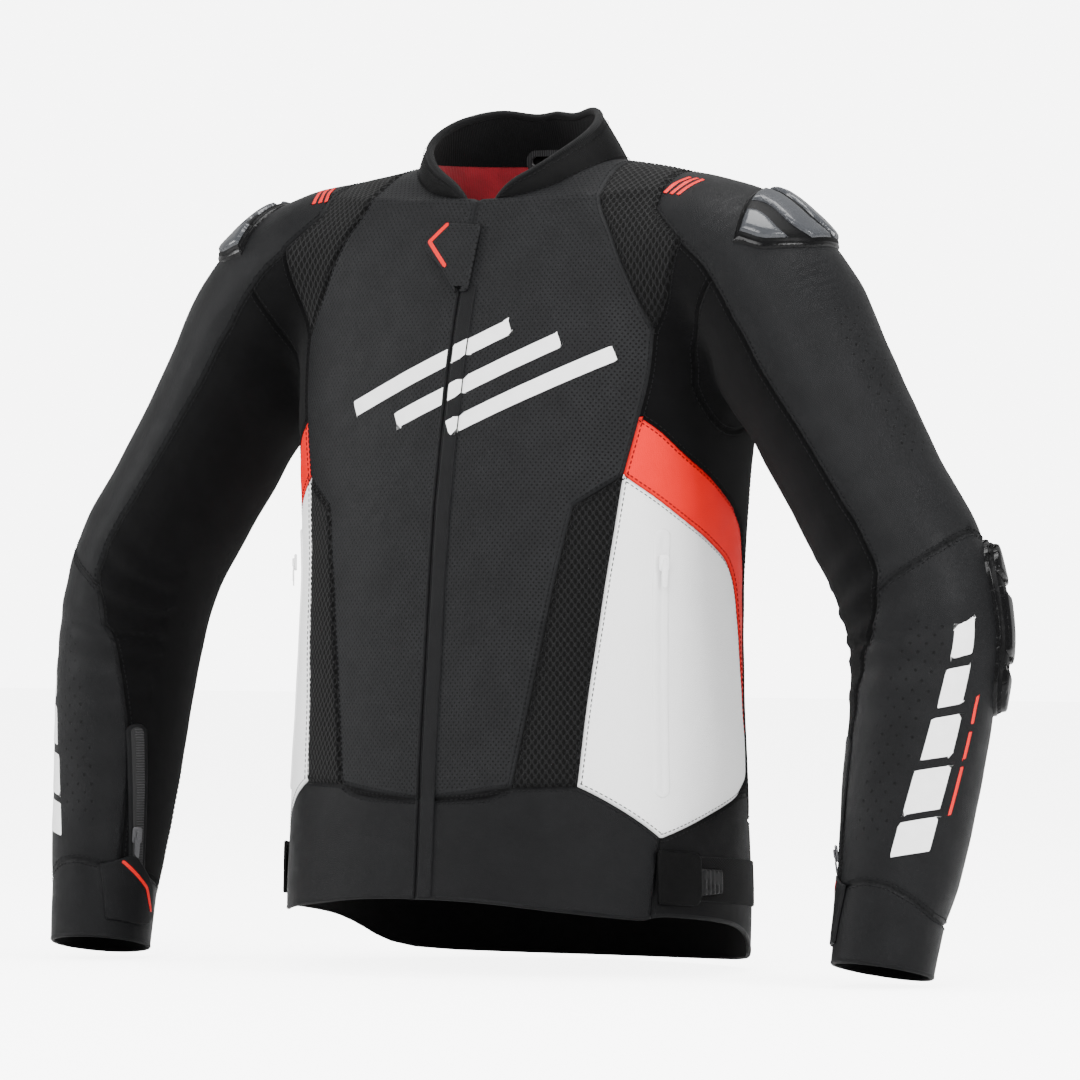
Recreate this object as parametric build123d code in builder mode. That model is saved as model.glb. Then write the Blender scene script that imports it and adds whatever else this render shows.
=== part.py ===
"""Leather riding jacket, closed, in its worn shape with both arms hanging slightly out.

Frame: millimetres, origin at the centre of the neck base, +X to the wearer's left, front towards -Y, +Z up.
Three smooth forms carry the jacket: the torso, the sleeve tube and the collar cone. Each form is lofted at
several offsets, and every panel is the space between two offsets, cut along the jacket's real seams.
"""
import os
from math import copysign, cos, radians, sin

from build123d import *

# ---- driving dimensions -------------------------------------------------------------------------------
LEATHER = 3.0            # outer panel with its backing
LINING = 2.0             # torso lining
SLEEVE_WALL = 4.0        # sleeve panel with its lining
COVER = 2.0              # flaps, straps and the placket
STRAP_GAP = 0.4          # clearance under anything that lifts or slides
LAYER_GAP = 0.3          # clearance between a panel and the layer inside it
POCKET_ZIP = 1.2         # how far the pocket zips stand out
ARMOUR = 7.0             # soft armour pads
PROTECTOR = 10.0         # back protector
SHOULDER_SLIDER = 9.0    # how far the hard shoulder slider stands out
ELBOW_SLIDER = 14.0      # how far the hard elbow slider stands out
FRONT_GAP = 6.0          # half the opening between the two front panels
REACH = 500.0            # longer than any piece, for cutting

# torso stations: height, half width, front, back; the widest ones are cut by the shoulder folds
TORSO = [
    (-670, 192, -170, 150),
    (-600, 194, -162, 149),
    (-480, 191, -153, 143),
    (-340, 190, -139, 138),
    (-200, 200, -117, 142),
    (-130, 220, -100, 138),
    (-80, 226, -84, 122),
    (-40, 205, -62, 98),
    (-12, 145, -34, 74),
    (4, 90, -14, 50),
]
TORSO_SQUARENESS = 2.25  # 2 would be an ellipse
TORSO_POINTS = 16

# sleeve stations along the left arm: centre x, y, z, half size across, half size fore and aft
SLEEVE = [
    (140, 9, -80, 68, 78),
    (205, 5, -94, 66, 74),
    (246, 2, -132, 66, 73),
    (272, -1, -178, 65, 71),
    (303, -4, -228, 62, 67),
    (336, -8, -282, 61, 64),
    (366, -9, -330, 61, 63),
    (382, -9, -381, 60, 62),
    (385, -18, -440, 56, 60),
    (383, -33, -510, 52, 54),
    (381, -47, -570, 47, 49),
    (378, -58, -612, 42, 44),
    (376, -66, -650, 40, 42),
]

# collar cone stations: height, half width, half depth, centre y
COLLAR = [(-60, 118, 85, 19.5), (-10, 94, 73, 7), (45, 66, 61, -6)]
COLLAR_SIDE = [(-90, -75), (-66, -53), (-30, -18), (5, 0), (75, -6), (110, -12), (110, 42), (30, 36),
               (-20, 14), (-50, -18), (-66, -38)]
COLLAR_LEATHER = 2.5
COLLAR_KNIT = 2.0
COLLAR_GAP = 11.0        # half the gap between the collar's front ends

# armour and sliders: half sizes at the shoulder, overall slot sizes at the elbow
SHOULDER_SLIDER_HALF = (26, 52)
SHOULDER_PAD_HALF = (36, 60)
ELBOW_SLIDER_SIZE = (110, 58)
ELBOW_SLIDER_DROP = 33.0     # from the elbow's axis down to the slider's middle
ELBOW_PAD_SIZE = (140, 84)
ELBOW_PAD_DROP = 48.0
ELBOW_PART_TOP = -22.0       # where the slider and pad end above the elbow's axis
PROTECTOR_OUTLINE = [(-85, -130), (-60, -110), (60, -110), (85, -130), (110, -220), (70, -470), (-70, -470),
                     (-110, -220)]
WAIST_ZIP_OUTLINE = [(-110, -566), (110, -566), (110, -556), (-110, -556)]
HANGER_AT = (0, 58, 2)
HANGER_LENGTH = 64.0
HANGER_HEIGHT = 18.0
HANGER_STRAP = 5.0
HANGER_THICKNESS = 3.0

# the shoulder and elbow folds: each is a soft ring between two cutting planes
SHOULDER_FOLD_AT = (195, 0, -135)
SHOULDER_FOLD_NORMAL = (0.992, 0, 0.124)
SHOULDER_FOLD_WIDTH = 45.0
ARMHOLE_START = ((192, 12, -111), 64, 82)   # centre, half depth, half height
ARMHOLE_END = ((240, 3, -135), 73, 97)
ELBOW_AT = (380, -9, -365)
ELBOW_NORMAL = (0.165, -0.06, -0.985)
ELBOW_FOLD_WIDTH = 50.0
CUFF_AT = (379, -54, -597)
CUFF_NORMAL = (-0.05, -0.22, -0.974)

# seams on the wearer's left, as outlines seen from the front (x, z) or from the side (y, z)
HEM = [(-200, -592), (-140, -605), (-93, -613), (-70, -611), (0, -619), (37, -629), (90, -652), (200, -660)]
FRONT_PANEL = [
    (FRONT_GAP, 20), (100, 20), (106, -16), (113, -41), (127, -64), (142, -95), (153, -119), (166, -144),
    (164, -179), (160, -213), (151, -260), (117, -285), (104, -359), (92, -439), (81, -509), (43, -515),
    (FRONT_GAP, -519),
]
SHOULDER_MESH = [
    (100, 20), (106, -16), (113, -41), (127, -64), (142, -95), (153, -119), (166, -144), (177, -115),
    (190, -71), (161, -45), (150, 20),
]
SHOULDER_YOKE = [(150, 20), (161, -45), (190, -71), (240, -71), (240, 20)]
ARMHOLE_PANEL = [(240, -71), (190, -71), (177, -115), (166, -144), (164, -179), (160, -213), (150, -300),
                 (240, -300)]
BAND_TOP = [(-78, -213), (-66, -225), (-47, -244), (-12, -267), (16, -283), (40, -293)]
BAND_BOTTOM = [(-88, -260), (-76, -272), (-50, -293), (-18, -312), (11, -328), (27, -354), (34, -380)]
SIDE_FRONT = [(-123, -508), (-114, -439), (-100, -344)]
FLANK_MESH = [(-88, -260), (-100, -344), (-114, -439), (-123, -508), (-145, -509), (-135, -439), (-123, -359),
              (-111, -285)]
WAIST_TOP = [(-200, -523), (-156, -520), (-145, -509), (-123, -508), (-74, -550)]
WAIST_REAR = [(-76, -558), (-87, -640)]
SIDE_SEAM_Y = 40.0
TAIL_TOP_Z = -540.0
SLEEVE_SEAM = [
    (186, -40), (221, -104), (264, -172), (314, -240), (353, -294), (371, -325), (375, -345), (372, -364),
    (360, -397), (352, -435), (345, -470), (345, -700),
]

# fastenings
ZIP_TOP = (-80, -100)          # y, z of the front zip's top stop
ZIP_BOTTOM = (-150, -597)
ZIP_WIDTH = 8.0
ZIP_THICKNESS = 2.5
SLIDER_LENGTH = 14.0
SLIDER_WIDTH = 9.0
SLIDER_HEIGHT = 4.0
PULL_LENGTH = 20.0
THROAT_FLAP = [(-24, -57), (-40, -70), (-38, -78), (-18, -93), (-2, -113), (14, -112), (16, -57)]
PLACKET = [(-7, -114), (16, -114), (16, -605), (-7, -605)]
POCKET_TOP = (173, -65, -312)
POCKET_BOTTOM = (176, -71, -508)
POCKET_OUT = (0.807, -0.590, 0)
POCKET_ZIP_HALF = 3.5
POCKET_SLIDER_LIFT = 4.0
POCKET_SLIDER_AT = (173.3, -65.6, -330)
BELT = [(-40, -565), (100, -575), (100, -615), (-40, -603)]
WAIST_STRAP = [(-78, -559), (-38, -563), (-34, -575), (-12, -578), (-12, -596), (-34, -597), (-40, -604),
               (-84, -600)]
CUFF_TAB = [(-92, -582), (-70, -574), (-52, -600), (-48, -630), (-60, -637), (-95, -630)]
CUFF_TAB_X = 360.0
CUFF_ZIP_REST = (339.5, -67.2, -558)
CUFF_ZIP_OUT = (-0.80, -0.58, -0.13)
CUFF_ZIP_ALONG = (0.04, 0.05, 1.0)
CUFF_ZIP_LIFT = 2.8
SHOULDER_SLIDER_AT = (256, -2)
ELBOW_OUT = (0.85, 0.53, 0)


# ---- forms --------------------------------------------------------------------------------------------
def torso(grow):
    """The torso's solid form from hem to neck, with every wall moved out by grow."""
    with BuildPart() as form:
        for height, half_width, front, back in TORSO:
            middle = 0.12 * (front + back)
            points = []
            for step in range(TORSO_POINTS):
                turn = radians(360 * step / TORSO_POINTS)
                depth = back - middle if sin(turn) > 0 else middle - front
                across = copysign(abs(cos(turn)) ** (2 / TORSO_SQUARENESS), cos(turn))
                along = copysign(abs(sin(turn)) ** (2 / TORSO_SQUARENESS), sin(turn))
                points.append((across * (half_width + grow), middle + along * (depth + grow)))
            rise = grow if height > -20 else 0
            with BuildSketch(Plane.XY.offset(height + rise)):
                with BuildLine():
                    Spline(*points, periodic=True)
                make_face()
        loft()
    return form.part


def sleeve(grow):
    """The left sleeve's solid form from inside the shoulder to the wrist, with its wall moved out by grow."""
    with BuildPart() as form:
        for index, (x, y, z, across, fore_aft) in enumerate(SLEEVE):
            before = Vector(*SLEEVE[max(index - 1, 0)][:3])
            after = Vector(*SLEEVE[min(index + 1, len(SLEEVE) - 1)][:3])
            with BuildSketch(Plane(origin=(x, y, z), x_dir=(0, 1, 0), z_dir=after - before)):
                Ellipse(fore_aft + grow, across + grow)
        loft()
    return form.part


def collar_cone(grow):
    """The neck's solid cone, which leans forward as it rises."""
    with BuildPart() as form:
        for height, half_width, half_depth, centre_y in COLLAR:
            with BuildSketch(Plane.XY.offset(height)):
                with Locations((0, centre_y)):
                    Ellipse(half_width + grow, half_depth + grow)
        loft()
    return form.part


def armhole_ring(grow):
    """The soft ring that joins the torso to the sleeve."""
    with BuildPart() as form:
        for centre, deep, high in (ARMHOLE_START, ARMHOLE_END):
            with BuildSketch(Plane(origin=centre, x_dir=(0, 0, 1), z_dir=SHOULDER_FOLD_NORMAL)):
                Ellipse(high + grow, deep + grow)
        loft()
    return form.part


# ---- cutting shapes -----------------------------------------------------------------------------------
def slab(at, normal, low, high):
    """All the space from low to high along a plane's normal."""
    origin = Vector(*at) + Vector(*normal).normalized() * low
    with BuildPart(Plane(origin=origin, z_dir=normal)) as space:
        Box(4 * REACH, 4 * REACH, high - low, align=(Align.CENTER, Align.CENTER, Align.MIN))
    return space.part


def side_prism(outline, low_x, high_x):
    """A (y, z) outline extended from low_x to high_x."""
    with BuildPart() as prism:
        with BuildSketch(Plane.YZ.offset(low_x)):
            with BuildLine():
                Polyline(*outline, close=True)
            make_face()
        extrude(amount=high_x - low_x)
    return prism.part


def front_prism(outline, low_y, high_y):
    """An (x, z) outline extended from low_y to high_y."""
    with BuildPart() as prism:
        with BuildSketch(Plane.XZ.offset(-high_y)):
            with BuildLine():
                Polyline(*outline, close=True)
            make_face()
        extrude(amount=high_y - low_y)
    return prism.part


def block(low, high):
    """A box between two corners."""
    size = [far - near for near, far in zip(low, high)]
    with BuildPart(Plane(origin=low)) as box:
        Box(*size, align=(Align.MIN, Align.MIN, Align.MIN))
    return box.part


def cut(first, *keep, remove=()):
    """The part of the first shape inside every keep shape and outside every remove shape."""
    with BuildPart() as piece:
        add(first)
        for shape in keep:
            add(shape, mode=Mode.INTERSECT, clean=False)
        for shape in remove:
            add(shape, mode=Mode.SUBTRACT, clean=False)
    return piece.part


def mirrored(piece):
    return piece.mirror(Plane.YZ)


# ---- small hardware -----------------------------------------------------------------------------------
def zip_slider(at, out, lengthwise, lift):
    """A slider body with a hinged pull tab on top, standing lift above the point it runs on."""
    on_face = (Align.CENTER, Align.CENTER, Align.MIN)
    foot = Vector(*at) + Vector(*out).normalized() * lift
    with BuildPart(Plane(origin=foot, x_dir=lengthwise, z_dir=out)) as piece:
        Box(SLIDER_LENGTH, SLIDER_WIDTH, SLIDER_HEIGHT / 2, align=on_face)
        fillet(piece.edges().filter_by(Axis(origin=(0, 0, 0), direction=out)), 2.0)
        with Locations((0, 0, SLIDER_HEIGHT / 2)):
            Box(SLIDER_LENGTH / 2, SLIDER_WIDTH / 3, SLIDER_HEIGHT / 2, align=on_face)
        with Locations((-PULL_LENGTH / 2, 0, SLIDER_HEIGHT / 2)):
            Box(PULL_LENGTH, SLIDER_WIDTH / 2, SLIDER_HEIGHT / 4, align=on_face)
    return piece.part


def write(piece, name):
    piece.label = name
    export_step(piece, f"parts/{name}.step")
    print(f"{name:28s} solids {len(piece.solids())} volume {piece.volume / 1000:.2f} cm3", flush=True)


def write_pair(piece, name):
    """A left piece and its mirrored right piece."""
    write(piece, f"{name}_left")
    write(mirrored(piece), f"{name}_right")


os.makedirs("parts", exist_ok=True)

# ---- forms at each offset -----------------------------------------------------------------------------
neck = collar_cone(0)
outer = torso(0)
middle = torso(-LEATHER)
lining_outer = torso(-LEATHER - LAYER_GAP)
inner = torso(-LEATHER - LINING)
on_leather = torso(LAYER_GAP)
lifted = torso(COVER)
strap_low = torso(COVER + STRAP_GAP)
strap_high = torso(COVER + STRAP_GAP + COVER)
sleeve_outer = sleeve(0)
sleeve_inner = sleeve(-SLEEVE_WALL)
shoulder_left = slab(SHOULDER_FOLD_AT, SHOULDER_FOLD_NORMAL, 0, REACH)
below_hem = side_prism(HEM + [(200, -900), (-200, -900)], -REACH, REACH)

# ---- torso panels -------------------------------------------------------------------------------------
front_slot = block((-8, -300, -900), (8, 0, 100))
left_half = block((0, -REACH, -665), (REACH, REACH, 20))
lining_half = cut(left_half, lining_outer, remove=[inner, neck, shoulder_left, below_hem, front_slot])
write(lining_half + mirrored(lining_half), "torso_lining")

front_outline = front_prism(FRONT_PANEL, -REACH, 5)
yoke_prism = front_prism(SHOULDER_YOKE, -REACH, REACH)
above_band = side_prism(BAND_TOP + [(SIDE_SEAM_Y, 60), (-200, 60), (-200, -213)], 0, REACH)
band_outline = BAND_TOP + [(SIDE_SEAM_Y, -450)] + BAND_BOTTOM[::-1]
panel_outline = BAND_BOTTOM + [(SIDE_SEAM_Y, -450), (SIDE_SEAM_Y, -505), (22, -519), (-74, -550)] + SIDE_FRONT
tail_outline = [(-74, -550), (22, -519), (SIDE_SEAM_Y, -505), (SIDE_SEAM_Y, TAIL_TOP_Z), (200, TAIL_TOP_Z)]
tail_outline += [(200, -700), (-95, -700)] + WAIST_REAR[::-1]
back_outline = [(5, 60), (5, -40), (SIDE_SEAM_Y, -71), (SIDE_SEAM_Y, TAIL_TOP_Z), (200, TAIL_TOP_Z), (200, 60)]
waist_outline = WAIST_TOP + WAIST_REAR + [(-200, -640)]
edges = [middle, neck, below_hem]
one_side = edges + [shoulder_left]
beside_front = edges + [front_outline]
panels = {
    "front_panel": cut(front_outline, outer, remove=edges),
    "shoulder_mesh": cut(front_prism(SHOULDER_MESH, -REACH, 5), outer, remove=one_side),
    "shoulder_yoke": cut(yoke_prism, outer, remove=one_side),
    "armhole_panel": cut(front_prism(ARMHOLE_PANEL, -REACH, SIDE_SEAM_Y), outer, above_band, remove=one_side),
    "side_band": cut(side_prism(band_outline, 90, REACH), outer, remove=beside_front + [shoulder_left]),
    "side_panel": cut(side_prism(panel_outline, 90, REACH), outer, remove=beside_front),
    "flank_mesh": cut(side_prism(FLANK_MESH, 0, REACH), outer, remove=beside_front),
    "waist_panel": cut(side_prism(waist_outline, FRONT_GAP, REACH), outer, remove=edges),
}
for name, piece in panels.items():
    write_pair(piece, name)
back_half = cut(side_prism(back_outline, 0, REACH), outer, left_half, remove=one_side + [yoke_prism])
write(back_half + mirrored(back_half), "back_panel")
tail_half = cut(side_prism(tail_outline, 0, REACH), outer, left_half, remove=one_side)
write(tail_half + mirrored(tail_half), "tail_panel")
write(cut(front_prism(PLACKET, -REACH, 0), lifted, remove=[outer, below_hem]), "front_placket")

# ---- collar -------------------------------------------------------------------------------------------
collar_side = side_prism(COLLAR_SIDE, -REACH, REACH)
collar_opening = block((-COLLAR_GAP, -REACH, -100), (COLLAR_GAP, 0, 100))
collar_middle = collar_cone(-COLLAR_LEATHER)
collar_inner = collar_cone(-COLLAR_LEATHER - COLLAR_KNIT)
write(cut(neck, collar_side, remove=[collar_middle, collar_opening]), "collar")
write(cut(collar_middle, collar_side, remove=[collar_inner, collar_opening]), "collar_lining")

# ---- sleeves ------------------------------------------------------------------------------------------
elbow_half = ELBOW_FOLD_WIDTH / 2
torso_side = slab(SHOULDER_FOLD_AT, SHOULDER_FOLD_NORMAL, -2 * REACH, SHOULDER_FOLD_WIDTH)
past_elbow = slab(ELBOW_AT, ELBOW_NORMAL, -elbow_half, REACH)
before_forearm = slab(ELBOW_AT, ELBOW_NORMAL, -REACH, elbow_half)
past_cuff_seam = slab(CUFF_AT, CUFF_NORMAL, 0, REACH)
before_cuff = slab(CUFF_AT, CUFF_NORMAL, -2 * REACH, 0)
outside_seam = front_prism(SLEEVE_SEAM + [(900, -700), (900, -40)], -REACH, REACH)
inside_seam = front_prism(SLEEVE_SEAM + [(100, -700), (100, -40)], -REACH, REACH)
upper_edges = [sleeve_inner, torso_side, past_elbow]
forearm_edges = [sleeve_inner, before_forearm, past_cuff_seam]
write_pair(cut(outside_seam, sleeve_outer, remove=upper_edges), "upper_sleeve")
write_pair(cut(inside_seam, sleeve_outer, remove=upper_edges), "upper_sleeve_stretch")
write_pair(cut(outside_seam, sleeve_outer, remove=forearm_edges), "forearm_sleeve")
write_pair(cut(inside_seam, sleeve_outer, remove=forearm_edges), "forearm_stretch")
write_pair(cut(sleeve_outer, remove=[sleeve_inner, before_cuff]), "cuff")
elbow_slab = slab(ELBOW_AT, ELBOW_NORMAL, STRAP_GAP - elbow_half, elbow_half - STRAP_GAP)
write_pair(cut(elbow_slab, sleeve_outer, remove=[sleeve_inner]), "elbow_gusset")
fold_slab = slab(SHOULDER_FOLD_AT, SHOULDER_FOLD_NORMAL, STRAP_GAP, SHOULDER_FOLD_WIDTH - STRAP_GAP)
write_pair(cut(fold_slab, armhole_ring(0), remove=[armhole_ring(-SLEEVE_WALL)]), "armhole_gusset")

# ---- armour and sliders -------------------------------------------------------------------------------
sleeve_pad = sleeve(-SLEEVE_WALL - ARMOUR)
with BuildPart() as shoulder_post:
    with BuildSketch(Plane.XY.offset(-105)):
        with Locations(SHOULDER_SLIDER_AT):
            Ellipse(*SHOULDER_SLIDER_HALF)
    extrude(amount=150)
with BuildPart() as shoulder_pad_post:
    with BuildSketch(Plane.XY.offset(-105)):
        with Locations(SHOULDER_SLIDER_AT):
            Ellipse(*SHOULDER_PAD_HALF)
    extrude(amount=150)
elbow_face = Plane(origin=ELBOW_AT, x_dir=(0, 0, 1), z_dir=ELBOW_OUT)
with BuildPart() as elbow_post:
    with BuildSketch(elbow_face):
        with Locations((-ELBOW_SLIDER_DROP, 0)):
            SlotOverall(*ELBOW_SLIDER_SIZE)
    extrude(amount=150)
with BuildPart() as elbow_pad_post:
    with BuildSketch(elbow_face):
        with Locations((-ELBOW_PAD_DROP, 0)):
            SlotOverall(*ELBOW_PAD_SIZE)
    extrude(amount=150)
above_slider = slab(ELBOW_AT, ELBOW_NORMAL, -REACH, ELBOW_PART_TOP)
shoulder_shell = sleeve(SHOULDER_SLIDER)
elbow_shell = sleeve(ELBOW_SLIDER)
write_pair(cut(shoulder_post.part, shoulder_shell, remove=[sleeve_outer, torso_side]), "shoulder_slider")
write_pair(cut(shoulder_pad_post.part, sleeve_inner, remove=[sleeve_pad, torso_side]), "shoulder_pad")
write_pair(cut(elbow_post.part, elbow_shell, remove=[sleeve_outer, above_slider]), "elbow_slider")
write_pair(cut(elbow_pad_post.part, sleeve_inner, remove=[sleeve_pad, above_slider]), "elbow_pad")
protector_outer = torso(-LEATHER - LINING - STRAP_GAP)
protector_inner = torso(-LEATHER - LINING - STRAP_GAP - PROTECTOR)
protector_space = front_prism(PROTECTOR_OUTLINE, 50, REACH)
write(cut(protector_space, protector_outer, remove=[protector_inner]), "back_protector")

# ---- fastenings ---------------------------------------------------------------------------------------
zip_run = Vector(0, ZIP_BOTTOM[0] - ZIP_TOP[0], ZIP_BOTTOM[1] - ZIP_TOP[1])
zip_out = Vector(0, zip_run.Z, -zip_run.Y).normalized()
with BuildPart(Plane(origin=(0, ZIP_TOP[0], ZIP_TOP[1]), x_dir=zip_run, z_dir=zip_out)) as front_zip:
    Box(zip_run.length, ZIP_WIDTH, ZIP_THICKNESS, align=(Align.MIN, Align.CENTER, Align.MAX))
write(front_zip.part, "front_zip_chain")
first_stop = Vector(0, ZIP_TOP[0], ZIP_TOP[1]) + zip_run.normalized() * SLIDER_LENGTH
write(zip_slider(tuple(first_stop), tuple(zip_out), tuple(-zip_run), STRAP_GAP), "front_zip_slider")
write(cut(front_prism(THROAT_FLAP, -REACH, 0), strap_high, remove=[strap_low]), "throat_flap")

pocket_y = (POCKET_TOP[1] + POCKET_BOTTOM[1]) / 2
pocket_lean = (POCKET_BOTTOM[1] - POCKET_TOP[1]) / 2
pocket_outline = [
    (pocket_y - pocket_lean - POCKET_ZIP_HALF, POCKET_TOP[2]),
    (pocket_y - pocket_lean + POCKET_ZIP_HALF, POCKET_TOP[2]),
    (pocket_y + pocket_lean + POCKET_ZIP_HALF, POCKET_BOTTOM[2]),
    (pocket_y + pocket_lean - POCKET_ZIP_HALF, POCKET_BOTTOM[2]),
]
pocket_zip = cut(side_prism(pocket_outline, 90, REACH), torso(POCKET_ZIP), remove=[outer])
pocket_zips = pocket_zip + mirrored(pocket_zip)
write(pocket_zips, "pocket_zips")
pocket_run = tuple(top - bottom for top, bottom in zip(POCKET_TOP, POCKET_BOTTOM))
write_pair(zip_slider(POCKET_SLIDER_AT, POCKET_OUT, pocket_run, POCKET_SLIDER_LIFT), "pocket_zip_slider")
belt = cut(side_prism(BELT, 90, REACH), lifted, remove=[on_leather])
write(belt + mirrored(belt), "waist_belts")
write_pair(cut(side_prism(WAIST_STRAP, 90, REACH), strap_high, remove=[strap_low]), "waist_strap")
tab_low = sleeve(STRAP_GAP)
tab_high = sleeve(STRAP_GAP + COVER)
write_pair(cut(side_prism(CUFF_TAB, 0, CUFF_TAB_X), tab_high, remove=[tab_low, before_cuff]), "cuff_tab")
write_pair(zip_slider(CUFF_ZIP_REST, CUFF_ZIP_OUT, CUFF_ZIP_ALONG, CUFF_ZIP_LIFT), "cuff_zip_slider")

# ---- inside the back ----------------------------------------------------------------------------------
waist_zip_space = front_prism(WAIST_ZIP_OUTLINE, 50, REACH)
waist_zip_outer = torso(-LEATHER - LINING - LAYER_GAP)
waist_zip_inner = torso(-LEATHER - LINING - COVER)
write(cut(waist_zip_space, waist_zip_outer, remove=[waist_zip_inner]), "waist_connection_zip")
with BuildPart() as hanger:
    with BuildSketch(Plane(origin=HANGER_AT, x_dir=(1, 0, 0), z_dir=(0, 1, 0))):
        SlotOverall(HANGER_LENGTH, HANGER_HEIGHT)
        SlotOverall(HANGER_LENGTH - 2 * HANGER_STRAP, HANGER_HEIGHT - 2 * HANGER_STRAP, mode=Mode.SUBTRACT)
    extrude(amount=HANGER_THICKNESS)
write(hanger.part, "hanger_loop")
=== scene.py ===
"""The looks of the leather riding jacket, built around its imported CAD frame.

The outer surface is one smooth implicit form in millimetres: a ring-shaped trunk and two sleeve tubes,
blended at the armpits. Its mesh is cut along the jacket's seams, every panel becomes a piece, and the collar,
sliders, straps and trims are raised from the same surface.
"""

import math

import bpy
import numpy as np
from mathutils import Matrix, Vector
from mathutils.kdtree import KDTree


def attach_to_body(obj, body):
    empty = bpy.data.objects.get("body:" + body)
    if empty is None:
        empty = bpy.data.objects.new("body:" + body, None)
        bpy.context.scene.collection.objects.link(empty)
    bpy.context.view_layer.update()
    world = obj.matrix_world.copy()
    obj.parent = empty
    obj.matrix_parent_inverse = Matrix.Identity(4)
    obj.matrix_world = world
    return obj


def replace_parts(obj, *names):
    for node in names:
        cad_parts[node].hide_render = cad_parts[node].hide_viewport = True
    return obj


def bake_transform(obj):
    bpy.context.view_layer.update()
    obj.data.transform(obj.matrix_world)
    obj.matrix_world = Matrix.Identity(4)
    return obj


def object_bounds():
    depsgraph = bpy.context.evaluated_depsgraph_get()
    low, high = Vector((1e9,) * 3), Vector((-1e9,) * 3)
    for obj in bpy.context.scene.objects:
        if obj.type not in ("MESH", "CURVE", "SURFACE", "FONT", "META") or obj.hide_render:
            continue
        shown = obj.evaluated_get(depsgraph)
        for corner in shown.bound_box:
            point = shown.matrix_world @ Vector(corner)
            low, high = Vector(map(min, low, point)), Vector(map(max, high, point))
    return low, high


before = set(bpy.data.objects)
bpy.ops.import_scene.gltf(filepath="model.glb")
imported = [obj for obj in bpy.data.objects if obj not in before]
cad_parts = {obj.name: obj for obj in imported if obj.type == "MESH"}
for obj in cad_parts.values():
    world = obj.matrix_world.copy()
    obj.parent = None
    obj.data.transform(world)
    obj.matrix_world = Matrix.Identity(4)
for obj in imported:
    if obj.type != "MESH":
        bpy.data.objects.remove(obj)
cad_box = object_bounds()

MM = 0.001
SIDES = {"left": 1, "right": -1}

# ---- camera ----------------------------------------------------------------------------------------------
VIEW_TURN = math.radians(32.0)      # how far the camera stands round towards the wearer's left
VIEW_DISTANCE = 6.0
VIEW_WIDTH = 0.8856                 # what the frame spans at the aim point
SENSOR = 36.0
AIM_ACROSS = 0.0148
AIM_HEIGHT = -0.3116


def add_camera():
    to_right = np.array([math.cos(VIEW_TURN), math.sin(VIEW_TURN), 0.0])
    to_camera = np.array([math.sin(VIEW_TURN), -math.cos(VIEW_TURN), 0.0])
    aim = to_right * AIM_ACROSS + np.array([0, 0, AIM_HEIGHT])
    data = bpy.data.cameras.new("camera")
    data.sensor_width = SENSOR
    data.lens = SENSOR * VIEW_DISTANCE / VIEW_WIDTH
    data.clip_end = 50.0
    camera = bpy.data.objects.new("camera", data)
    camera.location = aim + to_camera * VIEW_DISTANCE
    camera.rotation_euler = (math.pi / 2, 0.0, VIEW_TURN)
    bpy.context.collection.objects.link(camera)
    bpy.context.scene.camera = camera


add_camera()

# ---- the jacket's form, in millimetres -------------------------------------------------------------------
TRUNK_Z = [-700, -640, -600, -520, -440, -360, -280, -200, -130, -80, -40]
HALF_WIDTH = [192, 193, 194, 193, 190, 189, 193, 200, 203, 196, 170]
FRONT_Y = [-172, -166, -162, -156, -149, -141, -131, -117, -100, -84, -66]
BACK_Y = [150, 150, 149, 146, 141, 138, 139, 142, 138, 126, 104]
SQUARENESS = 2.25
MIDDLE_SHARE = 0.12                 # a section is widest at this share of its front y plus its back y
TRUNK_TOP = -40.0
ARMPIT_BLEND = 22.0

# sleeve centreline from the middle of the yoke: x, y, z, half size across, half size fore and aft
SLEEVE = [
    (0, 14, -74, 76, 84), (70, 12, -74, 74, 82), (140, 9, -80, 68, 78), (205, 5, -94, 66, 74),
    (246, 2, -132, 66, 73), (272, -1, -178, 65, 71), (303, -4, -228, 62, 67), (336, -8, -282, 61, 64),
    (366, -9, -330, 62, 63), (382, -9, -381, 60, 62), (385, -18, -440, 56, 60), (383, -33, -510, 52, 54),
    (381, -47, -570, 47, 49), (378, -58, -612, 42, 44), (376, -66, -650, 40, 42),
]
# collar cone: height, half width, half depth, centre y
CONE = [(-90, 136, 94, 27), (-60, 118, 85, 19.5), (-10, 94, 73, 7), (20, 78, 66, 0), (45, 66, 61, -6)]


def spline(stations, values, at):
    """A smooth curve through the stations that doesn't overshoot them."""
    xs, ys = np.asarray(stations, float), np.asarray(values, float)
    gaps, slopes = np.diff(xs), np.diff(ys) / np.diff(xs)
    tangents = np.concatenate([[slopes[0]], (slopes[:-1] + slopes[1:]) / 2, [slopes[-1]]])
    tangents[1:-1] = np.where(slopes[:-1] * slopes[1:] <= 0, 0, tangents[1:-1])
    at = np.clip(at, xs[0], xs[-1])
    i = np.clip(np.searchsorted(xs, at) - 1, 0, len(gaps) - 1)
    t = (at - xs[i]) / gaps[i]
    rise = (2 * t**3 - 3 * t**2 + 1) * ys[i] + (-2 * t**3 + 3 * t**2) * ys[i + 1]
    return rise + ((t**3 - 2 * t**2 + t) * tangents[i] + (t**3 - t**2) * tangents[i + 1]) * gaps[i]


def smooth(low, high, x):
    """0 below low, 1 above high, smooth between."""
    t = np.clip((np.asarray(x, float) - low) / (high - low), 0, 1)
    return t * t * (3 - 2 * t)


def bump(x, centre, width):
    return np.exp(-(((x - centre) / width) ** 2))


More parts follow.
